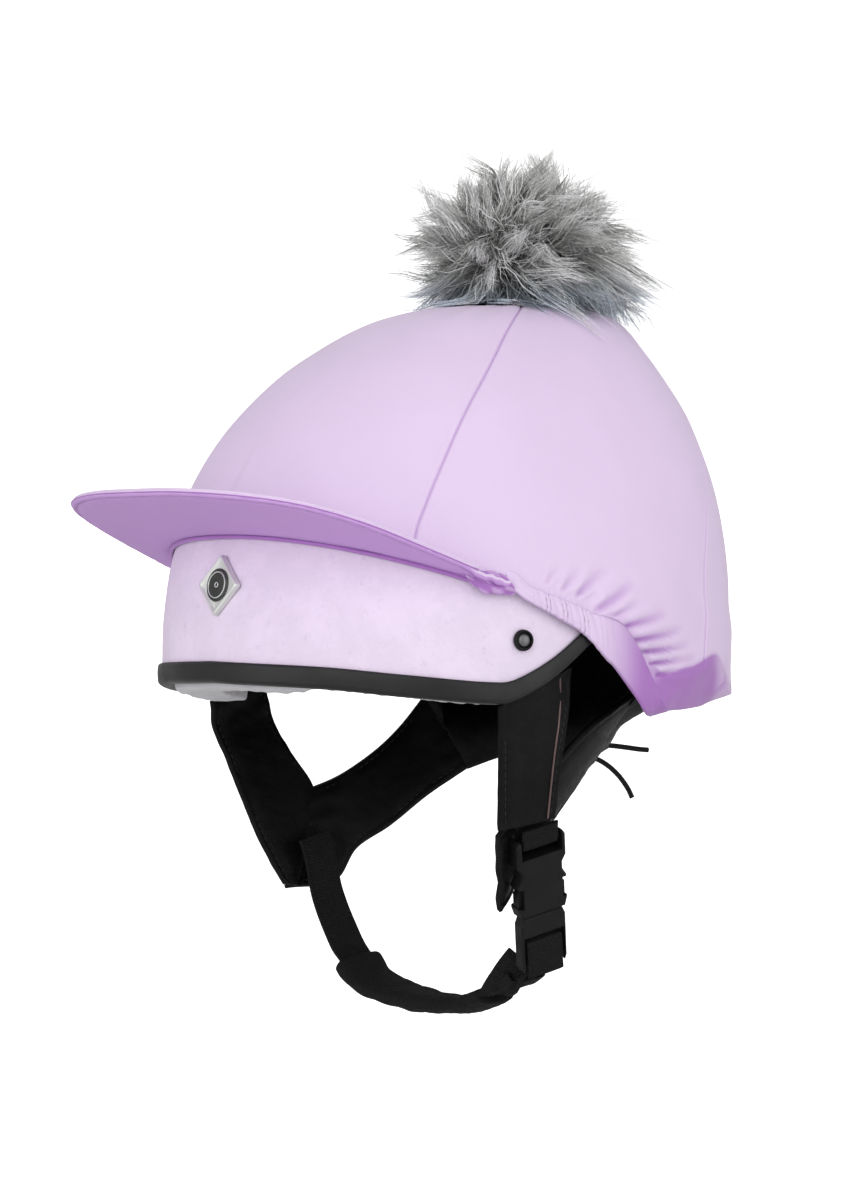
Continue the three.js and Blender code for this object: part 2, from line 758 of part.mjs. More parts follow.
// Cross-lines of each leather strap, front edge then rear edge. The left side carries the buckle,
// the right side plain webbing.
const frontStraps = {
  left: [
    { front: [0.871, -0.3797, 0.0272], rear: [0.9032, -0.0902, 0.1199] },
    { front: [0.871, -0.3759, -0.0545], rear: [0.8986, -0.0902, 0.0272] },
    { front: [0.8479, -0.3609, -0.1362], rear: [0.8756, -0.1053, -0.0981] },
    { front: [0.8157, -0.3383, -0.2616], rear: [0.8433, -0.1128, -0.2343] },
  ],
  right: [
    { front: [-0.8516, -0.4662, 0.0191], rear: [-0.8829, -0.203, 0.0654] },
    { front: [-0.8571, -0.4511, -0.0436], rear: [-0.8802, -0.1692, -0.0327] },
    { front: [-0.8295, -0.4135, -0.1199], rear: [-0.8433, -0.1241, -0.109] },
    { front: [-0.7972, -0.3759, -0.2071], rear: [-0.7926, -0.0752, -0.2071] },
    { front: [-0.7512, -0.3158, -0.327], rear: [-0.7465, -0.1316, -0.327] },
    { front: [-0.7097, -0.2368, -0.436], rear: [-0.7143, -0.203, -0.4414] },
  ],
};

// Rear straps run from the point of the side piece up to the nape: lower edge, then upper edge.
const rearStraps = {
  left: [
    { front: [0.6083, -0.1805, -0.4196], rear: [0.7281, -0.282, -0.2725] },
    { front: [0.6083, -0.109, -0.3924], rear: [0.7327, -0.1955, -0.2071] },
    { front: [0.6037, -0.0338, -0.3161], rear: [0.7465, -0.0752, -0.1308] },
    { front: [0.5899, 0.0865, -0.2289], rear: [0.7558, 0.0752, -0.0381] },
    { front: [0.5438, 0.2105, -0.158], rear: [0.7281, 0.2256, 0.0163] },
    { front: [0.47, 0.3383, -0.109], rear: [0.6839, 0.3459, 0.049] },
  ],
  right: [
    { front: [-0.7097, -0.188, -0.4441], rear: [-0.788, -0.0571, -0.2071] },
    { front: [-0.7005, -0.015, -0.436], rear: [-0.7788, 0.0226, -0.1798] },
    { front: [-0.6728, 0.0677, -0.3542], rear: [-0.7604, 0.1128, -0.1471] },
    { front: [-0.6175, 0.1805, -0.2997], rear: [-0.7419, 0.218, -0.0981] },
    { front: [-0.553, 0.3083, -0.2234], rear: [-0.7189, 0.3083, -0.0381] },
    { front: [-0.47, 0.4286, -0.158], rear: [-0.6866, 0.3759, 0.0327] },
  ],
};

// The nape piece from the left round the back to the right: where it leaves the liner, in degrees,
// the waist inside the rim and the lower edge.
const napeRows = [
  { angle: 118, waist: [0.682, 0.3496, 0.049], low: [0.4682, 0.3414, -0.109] },
  { angle: 130, waist: [0.6083, 0.4812, 0.0327], low: [0.3779, 0.4511, -0.0954] },
  { angle: 148, waist: [0.424, 0.609, 0.0381], low: [0.2396, 0.5338, -0.1008] },
  { angle: 165, waist: [0.1843, 0.6767, 0.0436], low: [0.0922, 0.5789, -0.109] },
  { angle: 180, waist: [0, 0.6917, 0.0436], low: [0, 0.5865, -0.1117] },
  { angle: 195, waist: [-0.1843, 0.6805, 0.0436], low: [-0.0922, 0.5827, -0.109] },
  { angle: 212, waist: [-0.424, 0.6165, 0.0381], low: [-0.2304, 0.5526, -0.109] },
  { angle: 230, waist: [-0.6083, 0.5038, 0.0327], low: [-0.3594, 0.5038, -0.1281] },
  { angle: 242, waist: [-0.6839, 0.3789, 0.0327], low: [-0.4673, 0.4316, -0.158] },
];

function napePiece() {
  const grid = napeRows.map(({ angle, waist, low }) => {
    const depth = headDepth + strapWall / 2 + nest;
    const seat = under(angle, placeAt(napeSeat), depth);
    const top = under(angle, placeAt(napeTop), depth);
    const foot = place(low);
    const middle = place(waist);
    return [foot, foot.clone().lerp(middle, 0.5), middle, seat, top];
  });
  return ribbon(smoothRows(grid, 2), strapWall, [0.55, 1, 1, 1, 0.8]);
}

// Webbing: a flat band along points, with its width along a given direction at each point.
function band(rows, width, wall, extra = 4) {
  const grid = rows.map(({ at, wide }) => {
    const half = vector(wide).normalize().multiplyScalar(width / 2);
    return [at.clone().sub(half), at, at.clone().add(half)];
  });
  return ribbon(smoothRows(grid, extra), wall);
}

// Padded sleeve: an oval section carried along points.
function sleeve(rows, width, thick, extra = 3) {
  const centres = new THREE.CatmullRomCurve3(rows.map(({ at }) => at));
  const wides = new THREE.CatmullRomCurve3(rows.map(({ wide }) => vector(wide)));
  const count = (rows.length - 1) * extra;
  const loops = steps(0, 1, count).map((t) => {
    const along = centres.getTangent(t);
    const wide = wides.getPoint(t);
    wide.addScaledVector(along, -wide.dot(along)).normalize();
    const out = new THREE.Vector3().crossVectors(along, wide);
    const end = Math.min(t, 1 - t) < 1e-6 ? sleeveEnd : 1;
    return roundTurn(sleeveSides).map((turn) => {
      const c = Math.cos(turn * degrees);
      const s = Math.sin(turn * degrees);
      const across = Math.sign(c) * Math.abs(c) ** 0.7 * (width / 2) * end;
      const through = Math.sign(s) * Math.abs(s) ** 0.8 * (thick / 2) * end;
      return centres.getPoint(t).addScaledVector(wide, across).addScaledVector(out, through);
    });
  });
  return sweep(loops);
}

const chinRows = [
  { at: [-0.6544, -0.1128, -0.3597], wide: [0, 1, 0.28] },
  { at: [-0.6359, -0.0865, -0.4687], wide: [0, 1, 0.25] },
  { at: [-0.5714, -0.0526, -0.5777], wide: [0.05, 1, 0.2] },
  { at: [-0.5207, -0.0383, -0.6213], wide: [0.05, 1, 0.15] },
];
const sleeveRows = [
  { at: [-0.5161, -0.0376, -0.6245], wide: [0.05, 1, 0.15] },
  { at: [-0.424, -0.0301, -0.673], wide: [0.05, 1, 0.1] },
  { at: [-0.2396, -0.0226, -0.7003], wide: [0.02, 1, 0.05] },
  { at: [-0.0276, -0.015, -0.7112], wide: [0, 1, 0] },
  { at: [0.1659, 0, -0.7057], wide: [-0.02, 1, 0] },
  { at: [0.3134, 0.015, -0.6757], wide: [-0.05, 1, 0.05] },
];
// Side-release buckle, made flat: x across, y along it from its lower bar, z outwards.

const shapeOf = (points) => new THREE.Shape(points.map(([x, y]) => new THREE.Vector2(x, y)));

function plate(points, thick, bevel = 0) {
  const geometry = new THREE.ExtrudeGeometry(shapeOf(points), {
    depth: thick - 2 * bevel,
    bevelEnabled: bevel > 0,
    bevelThickness: bevel,
    bevelSize: bevel,
    bevelOffset: -bevel,
    bevelSegments: 1,
  });
  return solid(geometry.translate(0, 0, bevel - thick / 2));
}

const mirrored = (points) => [...points, ...[...points].reverse().map(([x, y]) => [-x, y])];

const block = (width, from, to, thick, x = 0, z = 0) =>
  solid(new THREE.BoxGeometry(width, to - from, thick).translate(x, (from + to) / 2, z));
const fuse = (parts) => parts.reduce((sum, part) => sum.add(part));
const slotWidth = webWidth + 2.2;

// Cuts that thin a cross-bar in front and behind, between two side rails.
function barCuts(from, to) {
  const far = buckleThick;
  return [-1, 1].map((side) => block(slotWidth, from, to, far, 0, side * (barHalf + far / 2)));
}

function buckleSocket() {
  const half = buckleWidth / 2;
  const foot = socketFoot;
  const body = plate(
    mirrored([
      [half * 0.9, foot],
      [half, foot + 4],
      [half, foot + 15],
      [half * 0.84, foot + 18.5],
      [half * 0.84, foot + 22],
      [half, foot + 25],
      [half, buckleLength - 2],
      [half * 0.9, buckleLength],
    ]),
    buckleThick,
    0.9,
  );
  const inside = buckleThick - 2 * buckleWall;
  const cheek = (side) =>
    block(half * 0.4, foot + cheekFoot, foot + cheekTop, buckleThick * 2, side * half);
  const bar = buckleLength - barWidth;
  return geometryOf(
    body.subtract(
      fuse([
        block(buckleWidth - 2 * cheekWall, foot - 1, foot + hollowDepth, inside),
        cheek(-1),
        cheek(1),
        block(slotWidth, bar - slotHeight, bar, buckleThick * 2),
        ...barCuts(bar - 1, buckleLength + 1),
      ]),
    ),
  );
}

function buckleTongue() {
  const half = buckleWidth / 2;
  const foot = socketFoot;
  const thick = buckleThick - 2 * buckleWall - 2 * gap;
  const base = plate(
    mirrored([
      [half * 0.86, 0],
      [half * 0.93, 2],
      [half * 0.93, foot - 4],
      [half * 0.8, foot - gap],
    ]),
    buckleThick * 0.8,
    0.9,
  );
  const prong = (side) => {
    const outer = half - cheekWall - gap;
    const points = [
      [outer - prongWidth, foot - prongFoot],
      [outer - 0.2, foot - prongFoot],
      [outer, foot + cheekFoot + gap],
      [half - 0.4, foot + cheekFoot + gap],
      [half - 0.4, foot + cheekTop - 2.9],
      [outer, foot + cheekTop - 0.9],
      [outer - prongWidth * 0.9, foot + prongTop],
      [outer - prongWidth * 1.35, foot + prongTop - 3],
    ];
    return plate(side > 0 ? points : points.map(([x, y]) => [-x, y]).reverse(), thick);
  };
  const rib = block(ribWidth, foot - prongFoot, foot + ribTop, thick);
  const body = fuse([base, prong(-1), prong(1), rib]);
  const bar = tongueBar + tongueBarWidth;
  const cuts = [
    block(slotWidth, bar, bar + slotHeight * 0.8, buckleThick * 2),
    block(slotWidth, -1, tongueBar, buckleThick * 2),
    ...barCuts(tongueBar - 1, bar + 0.5),
  ];
  return geometryOf(body.subtract(fuse(cuts)));
}

const buckle = new THREE.Group();
const buckleFoot = place([0.6037, 0.0038, -0.5913]);
const buckleHead = place([0.7742, -0.1429, -0.2752]);
const buckleLength = buckleHead.distanceTo(buckleFoot);
const socketFoot = buckleLength - socketLength;
{
  const rise = buckleHead.clone().sub(buckleFoot).normalize();
  const wide = new THREE.Vector3(0.1, 1, 0);
  wide.addScaledVector(rise, -wide.dot(rise)).normalize();
  const out = new THREE.Vector3().crossVectors(wide, rise);
  buckle.quaternion.setFromRotationMatrix(new THREE.Matrix4().makeBasis(wide, rise, out));
  buckle.position.copy(buckleFoot);
}
cap.add(buckle);

// A place in the buckle's middle plane, along it and out from it, and the direction across it.
const inBuckle = (along, out) =>
  new THREE.Vector3(0, along, out).applyQuaternion(buckle.quaternion).add(buckleFoot);
const acrossBuckle = new THREE.Vector3(1, 0, 0).applyQuaternion(buckle.quaternion).toArray();
const onBuckle = (rows) => rows.map(([y, z]) => ({ at: inBuckle(y, z), wide: acrossBuckle }));
const placed = (rows) => rows.map(({ at, wide }) => ({ at: place(at), wide }));
const wrap = barHalf + 2 * gap + webWall / 2;

// The upper webbing hangs from the front strap's hem and wraps the socket's bar.
const upperRows = () => {
  const bar = buckleLength - barWidth;
  return onBuckle([
    [buckleLength + 4.5, wrap + 0.6],
    [buckleLength + 1, wrap],
    [bar + 0.6, wrap],
    [bar - wrap * 0.7, wrap * 0.6],
    [bar - wrap * 0.7, -wrap * 0.6],
    [bar + 0.6, -wrap],
    [buckleLength + 1, -wrap],
    [buckleLength + 4.5, -wrap + 0.4],
  ]);
};

// The lower webbing leaves the sleeve, wraps the tongue's bar and ends in a short tail.
const lowerRows = () => {
  const bar = tongueBar + tongueBarWidth;
  return [
    ...placed([
      { at: [0.3207, 0.0158, -0.6741], wide: [-0.05, 1, 0.05] },
      { at: [0.424, 0.0173, -0.6458], wide: [0, 1, 0.1] },
      { at: [0.5115, 0.0165, -0.6158], wide: acrossBuckle },
    ]),
    ...onBuckle([
      [1, -wrap],
      [bar - 0.8, -wrap],
      [bar + wrap * 0.6, -wrap * 0.6],
      [bar + wrap * 0.6, wrap * 0.6],
      [bar - 0.8, wrap],
      [2, wrap],
      [-5, wrap + 0.6],
    ]),
  ];
};

// The webbing's spare end, folded forwards and held by a keeper.
const tailRows = [
  { at: [0.5069, -0.0639, -0.5613], wide: [0.75, 0.25, -0.5] },
  { at: [0.4608, -0.0865, -0.5886], wide: [0.75, 0.15, -0.5] },
  { at: [0.4424, -0.0902, -0.6267], wide: [0.8, 0.1, -0.4] },
  { at: [0.4608, -0.0789, -0.6567], wide: [0.85, 0.1, -0.3] },
];

// Keeper: a flat loop round the webbing, at a place, across a width.
function keeper() {
  const hole = plate(
    mirrored([
      [webWidth / 2 + gap * 2, -webWall],
      [webWidth / 2 + gap * 2, webWall],
    ]),
    keeperWidth * 2,
  );
  const outside = plate(
    mirrored([
      [webWidth / 2 + keeperWall, -webWall - keeperWall],
      [webWidth / 2 + keeperWall, webWall + keeperWall],
    ]),
    keeperWidth,
    0.5,
  );
  return geometryOf(outside.subtract(hole));
}

// Laces: a knot at the nape with two free ends.

const laces = {
  lace_upper: [
    [0.0184, 0.6353, -0.1003],
    [0.0369, 0.6767, -0.0937],
    [0.0599, 0.7218, -0.0948],
    [0.0829, 0.7744, -0.0997],
    [0.1014, 0.8195, -0.1046],
    [0.1143, 0.8534, -0.1068],
  ],
  lace_lower: [
    [0.0184, 0.6353, -0.1199],
    [0.0415, 0.6729, -0.1297],
    [0.0645, 0.7068, -0.1471],
    [0.0876, 0.7368, -0.1717],
    [0.1106, 0.7594, -0.2016],
    [0.1244, 0.7707, -0.2262],
  ],
};

// The knot that both ends leave, on the outside of the nape piece.
function knot() {
  const geometry = new THREE.IcosahedronGeometry(1, 2);
  return geometry.scale(knotRadius * 1.3, knotRadius * 0.8, knotRadius);
}

function cord(points) {
  const curve = new THREE.CatmullRomCurve3(points.map(place));
  const ring = roundTurn(laceSides).map(
    (turn) =>
      new THREE.Vector2(
        (laceDiameter / 2) * Math.cos(turn * degrees),
        (laceDiameter / 2) * Math.sin(turn * degrees),
      ),
  );
  return new THREE.ExtrudeGeometry(new THREE.Shape(ring), {
    steps: laceSteps,
    extrudePath: curve,
    bevelEnabled: false,
  });
}

// Assembly

piece("crown_cover", cover(), "silk");
piece("peak", peak(), "silk");
piece("hem_band", hemBand(), "silk");
piece("pompom", pompom(), "fur");
piece("shell", dome(shellDepth, shellWall, trimWall + gap), "suede");
piece("edge_trim", trim(), "rubber");
piece("liner", dome(linerDepth, linerWall, trimLeg + gap), "foam");
piece("head_pad", headPad(), "satin");
badge();
rivet("left", rivetAngle);
rivet("right", -rivetAngle);
for (const side of ["left", "right"]) {
  piece(`front_strap_${side}`, leather(frontStraps[side]), "leather");
  piece(`rear_strap_${side}`, leather(rearStraps[side]), "leather");
}
piece("nape_piece", napePiece(), "leather");
piece("chin_web_right", band(placed(chinRows), webWidth, webWall), "webbing");
piece("chin_sleeve", sleeve(placed(sleeveRows), sleeveWidth, sleeveThick), "webbing");
piece("chin_web_left", band(lowerRows(), webWidth, webWall, 3), "webbing");
piece("upper_web_left", band(upperRows(), webWidth, webWall, 2), "webbing");
{
  const holder = new THREE.Group();
  const along = vector(keeperLean).normalize();
  const wide = vector([0, 1, 0.1]);
  wide.addScaledVector(along, -wide.dot(along)).normalize();
  const out = new THREE.Vector3().crossVectors(along, wide);
  holder.quaternion.setFromRotationMatrix(new THREE.Matrix4().makeBasis(wide, out, along));
  holder.position.copy(place(keeperPlace));
  cap.add(holder);
  piece("web_keeper", keeper(), "webbing", holder);
}
piece("web_tail", band(placed(tailRows), webWidth * 0.8, webWall, 3), "webbing");
piece("buckle_socket", buckleSocket(), "plastic", buckle);
piece("buckle_tongue", buckleTongue(), "plastic", buckle);
piece("lace_knot", geometryOf(solid(knot())), "webbing").position.copy(place(knotPlace));
piece("lace_upper", cord(laces.lace_upper), "webbing");
piece("lace_lower", cord(laces.lace_lower), "webbing");

const crownInside = under(0, topSection, headDepth - gap);
cap.position.set(0, -crownInside.y, -crownInside.z);
cap.name = "riding_cap";

export default cap;
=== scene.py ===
"""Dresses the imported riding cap: cover, peak, pompom, skull, harness and chin strap, in metres."""

from __future__ import annotations

import logging
import math
from dataclasses import dataclass, field
from enum import Enum, IntEnum
from typing import Callable, Sequence

import bmesh
import bpy
import numpy as np
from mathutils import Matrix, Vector

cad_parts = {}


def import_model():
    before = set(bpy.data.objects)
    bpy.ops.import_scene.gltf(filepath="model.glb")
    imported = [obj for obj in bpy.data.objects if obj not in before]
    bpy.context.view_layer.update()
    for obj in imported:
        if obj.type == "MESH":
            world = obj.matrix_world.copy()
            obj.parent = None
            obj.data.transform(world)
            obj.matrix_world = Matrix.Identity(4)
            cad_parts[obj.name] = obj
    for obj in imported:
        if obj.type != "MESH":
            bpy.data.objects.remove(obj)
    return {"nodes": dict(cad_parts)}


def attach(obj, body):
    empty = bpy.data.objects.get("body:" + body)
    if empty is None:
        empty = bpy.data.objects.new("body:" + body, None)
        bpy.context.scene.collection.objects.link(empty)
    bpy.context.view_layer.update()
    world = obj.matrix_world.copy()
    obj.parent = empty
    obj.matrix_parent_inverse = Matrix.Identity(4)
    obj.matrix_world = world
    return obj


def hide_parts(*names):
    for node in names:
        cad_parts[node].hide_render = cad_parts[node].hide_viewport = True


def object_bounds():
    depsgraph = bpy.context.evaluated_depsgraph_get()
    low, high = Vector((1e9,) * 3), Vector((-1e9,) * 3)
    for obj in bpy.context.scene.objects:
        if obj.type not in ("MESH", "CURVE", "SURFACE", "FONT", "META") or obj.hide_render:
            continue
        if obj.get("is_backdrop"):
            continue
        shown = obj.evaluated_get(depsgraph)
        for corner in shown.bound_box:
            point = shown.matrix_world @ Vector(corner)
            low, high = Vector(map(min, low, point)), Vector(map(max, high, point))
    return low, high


LOG = logging.getLogger("riding_cap")
MM = 0.001
Array = np.ndarray
Rows = Sequence[Sequence[float]]


class Side(Enum):
    """A side of the wearer, with its sign along X."""

    LEFT = 1
    RIGHT = -1


class Slot(Enum):
    """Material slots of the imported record."""

    SILK = "silk"
    SUEDE = "suede"
    RUBBER = "rubber"
    FOAM = "foam"
    SATIN = "satin"
    LEATHER = "leather"
    WEBBING = "webbing"
    PLASTIC = "plastic"
    GUNMETAL = "gunmetal"
    SILVER = "silver"
    ENAMEL = "enamel"
    FUR = "fur"


class Edge(IntEnum):
    """Columns of the skull's table of edges."""

    RIM = 1
    HEM = 2
    HEM_TUCK = 3
    SEAM = 4
    SEAM_TUCK = 5
    CORNER = 6


# Numbers and curves


def smooth(xs: Array, ys: Array, at: Array) -> Array:
    """Reads a table smoothly.

    Args:
        xs: Places of the table's rows, rising.
        ys: Values of the table's rows.
        at: Places to read.

    Returns:
        A value for each place.
    """
    xs, ys = np.asarray(xs, float), np.asarray(ys, float)
    at = np.clip(np.asarray(at, float), xs[0], xs[-1])
    i = np.clip(np.searchsorted(xs, at, side="left") - 1, 0, len(xs) - 2)
    row = np.arange(len(xs))
    low, high = np.maximum(row - 1, 0), np.minimum(row + 1, len(xs) - 1)
    slope = (ys[high] - ys[low]) / (xs[high] - xs[low])
    span = xs[i + 1] - xs[i]
    t = (at - xs[i]) / span
    near = t * (1 - t) ** 2 * span * slope[i]
    far = t * t * (1 - t) * span * slope[i + 1]
    return mix(ys[i], ys[i + 1], ease(t)) + near - far


def mix(a: Array, b: Array, t: Array) -> Array:
    """Value between a and b at share t."""
    return a + (b - a) * t


def ease(t: Array) -> Array:
    """Smooth step from 0 to 1 over t from 0 to 1."""
    t = np.clip(t, 0, 1)
    return t * t * (3 - 2 * t)


def unit(v: Array) -> Array:
    """Vectors scaled to length one."""
    return v / np.maximum(np.linalg.norm(v, axis=-1, keepdims=True), 1e-12)


def catmull(points: Array, count: int) -> Array:
    """Smooth line through points.

    Args:
        points: Points or rows of points, first axis along the line.
        count: How many points to return.

    Returns:
        Points evenly spread over the line's own parameter.
    """
    p = np.asarray(points, float)
    n = len(p)
    t = np.linspace(0, n - 1, count)
    i = np.minimum(t.astype(int), n - 2)
    f = (t - i).reshape((-1,) + (1,) * (p.ndim - 1))
    ext = np.concatenate([[2 * p[0] - p[1]], p, [2 * p[-1] - p[-2]]])
    a, b, c, d = ext[i], ext[i + 1], ext[i + 2], ext[i + 3]
    return 0.5 * (2 * b + (c - a) * f + (2 * a - 5 * b + 4 * c - d) * f**2 + (3 * b - a - 3 * c + d) * f**3)


def travel(points: Array) -> Array:
    """Distance gone along the first axis of points, from zero."""
    steps = np.linalg.norm(np.diff(points, axis=0), axis=-1)
    return np.concatenate([np.zeros((1,) + steps.shape[1:]), np.cumsum(steps, axis=0)])


def circle(count: int) -> Array:
    """Angles in radians, evenly all round."""
    return np.linspace(0, 2 * math.pi, count, endpoint=False)


def power(value: Array, exponent: float) -> Array:
    """Power of a value that keeps its sign."""
    return np.sign(value) * np.abs(value) ** exponent


def waves(p: Array, size: float, seed: float = 0.0) -> Array:
    """Smooth uneven value from about -1 to 1 over points.

    Args:
        p: Points, last axis x, y, z.
        size: Length of a ripple, in the points' unit.
        seed: Shifts the pattern.

    Returns:
        One value for each point.
    """
    total = np.zeros(p.shape[:-1])
    for k in range(5):
        a = np.array([math.sin(1.7 * k + seed + 1), math.sin(2.9 * k + 2 * seed + 2), math.sin(4.3 * k + 3)])
        total += np.sin(p @ (a * 2 * math.pi / size) + 2.1 * k + 5 * seed)
    return total / 3


# Meshes


def make_mesh(name: str, points: Array, faces: Array, uv: Array | None = None) -> bpy.types.Object:
    """Builds a smooth-shaded object.

    Args:
        name: The object's name.
        points: Vertices in millimetres from the base, n by 3.
        faces: Quads or triangles of vertex numbers.
        uv: One place on the surface for each vertex, in metres.

    Returns:
        The new object, linked to the scene and placed in the row's frame.
    """
    mesh = bpy.data.meshes.new(name)
    points = (np.asarray(points, float) + Skull.OFFSET) * MM
    faces = np.asarray(faces, np.int32)
    size = faces.shape[1]
    mesh.vertices.add(len(points))
    mesh.vertices.foreach_set("co", points.astype(np.float32).ravel())
    mesh.loops.add(faces.size)
    mesh.loops.foreach_set("vertex_index", faces.ravel())
    mesh.polygons.add(len(faces))
    mesh.polygons.foreach_set("loop_start", np.arange(0, faces.size, size, dtype=np.int32))
    mesh.polygons.foreach_set("loop_total", np.full(len(faces), size, np.int32))
    if uv is not None:
        layer = mesh.uv_layers.new(name="along")
        layer.data.foreach_set("uv", np.asarray(uv, np.float32)[faces.ravel()].ravel())
    mesh.update(calc_edges=True)
    mesh.validate()
    mesh.shade_smooth()
    obj = bpy.data.objects.new(name, mesh)
    bpy.context.collection.objects.link(obj)
    return obj


def grid_faces(n: int, m: int, close_n: bool = False, close_m: bool = False, start: int = 0) -> Array:
    """Quads over an n by m grid of vertices.

    Args:
        n: Vertices along the first axis.
        m: Vertices along the second axis.
        close_n: Joins the last row of the first axis to its first.
        close_m: Joins the last row of the second axis to its first.
        start: Number of the grid's first vertex.

    Returns:
        Quads, facing along the first axis crossed with the second.
    """
    i = np.arange(n if close_n else n - 1)[:, None]
    j = np.arange(m if close_m else m - 1)[None, :]
    a, b = i, (i + 1) % n
    c, d = j, (j + 1) % m
    quads = np.stack([a * m + c, b * m + c, b * m + d, a * m + d], axis=-1)
    return quads.reshape(-1, 4) + start


def spread(grid: Array) -> Array:
    """Distances over a grid, in metres, for its uv.

    Args:
        grid: Points in millimetres, n by m by 3.

    Returns:
        Places n*m by 2: along the first axis, then along the second.
    """
    n, m, _ = grid.shape
    along = np.broadcast_to(travel(grid[:, m // 2])[:, None], (n, m))
    across = travel(grid.swapaxes(0, 1)).T
    return np.stack([along, across], axis=-1).reshape(-1, 2) * MM


def grid_object(name: str, grid: Array, close_n: bool = False, close_m: bool = False) -> bpy.types.Object:
    """Object over a grid of points n by m by 3, in millimetres."""
    n, m, _ = grid.shape
    return make_mesh(name, grid.reshape(-1, 3), grid_faces(n, m, close_n, close_m), spread(grid))


def capped(name: str, loops: Array) -> bpy.types.Object:
    """Tube through loops of points n by m by 3, with its two ends closed by fans of quads."""
    shares = np.array([0.5, 1])[:, None, None]
    head, tail = (mix(loop, loop.mean(axis=0), shares) for loop in loops[[0, -1]])
    return grid_object(name, np.concatenate([head[::-1], loops, tail]), close_m=True)


def face_out(obj: bpy.types.Object) -> bpy.types.Object:
    """Turns an object's faces outwards and joins doubled points."""
    bm = bmesh.new()
    bm.from_mesh(obj.data)
    bmesh.ops.remove_doubles(bm, verts=bm.verts, dist=1e-6)
    bmesh.ops.recalc_face_normals(bm, faces=bm.faces)
    bm.to_mesh(obj.data)
    bm.free()
    return obj


def write_painted_shade(obj: bpy.types.Object, values: Array) -> bpy.types.Object:
    """Writes how dark the painted shade is at each vertex, 0 to 1."""
    layer = obj.data.attributes.new("painted_shade", "FLOAT", "POINT")
    layer.data.foreach_set("value", np.clip(values, 0, 1).astype(np.float32).ravel())
    return obj


def write_tint(obj: bpy.types.Object, colors: Array) -> None:
    """Writes a colour with alpha at each vertex."""
    layer = obj.data.color_attributes.new("tint", "FLOAT_COLOR", "POINT")
    layer.data.foreach_set("color", colors.astype(np.float32).ravel())


def dress(obj: bpy.types.Object, finish: Finish, nodes: Sequence[str] = ()) -> bpy.types.Object:
    """Gives a piece its finish and body, and hides the nodes that it stands for."""
    obj.data.materials.clear()
    obj.data.materials.append(finish.material())
    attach(obj, "root")
    if nodes:
        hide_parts(*nodes)
    LOG.info("%s: %d faces", obj.name, len(obj.data.polygons))
    return obj


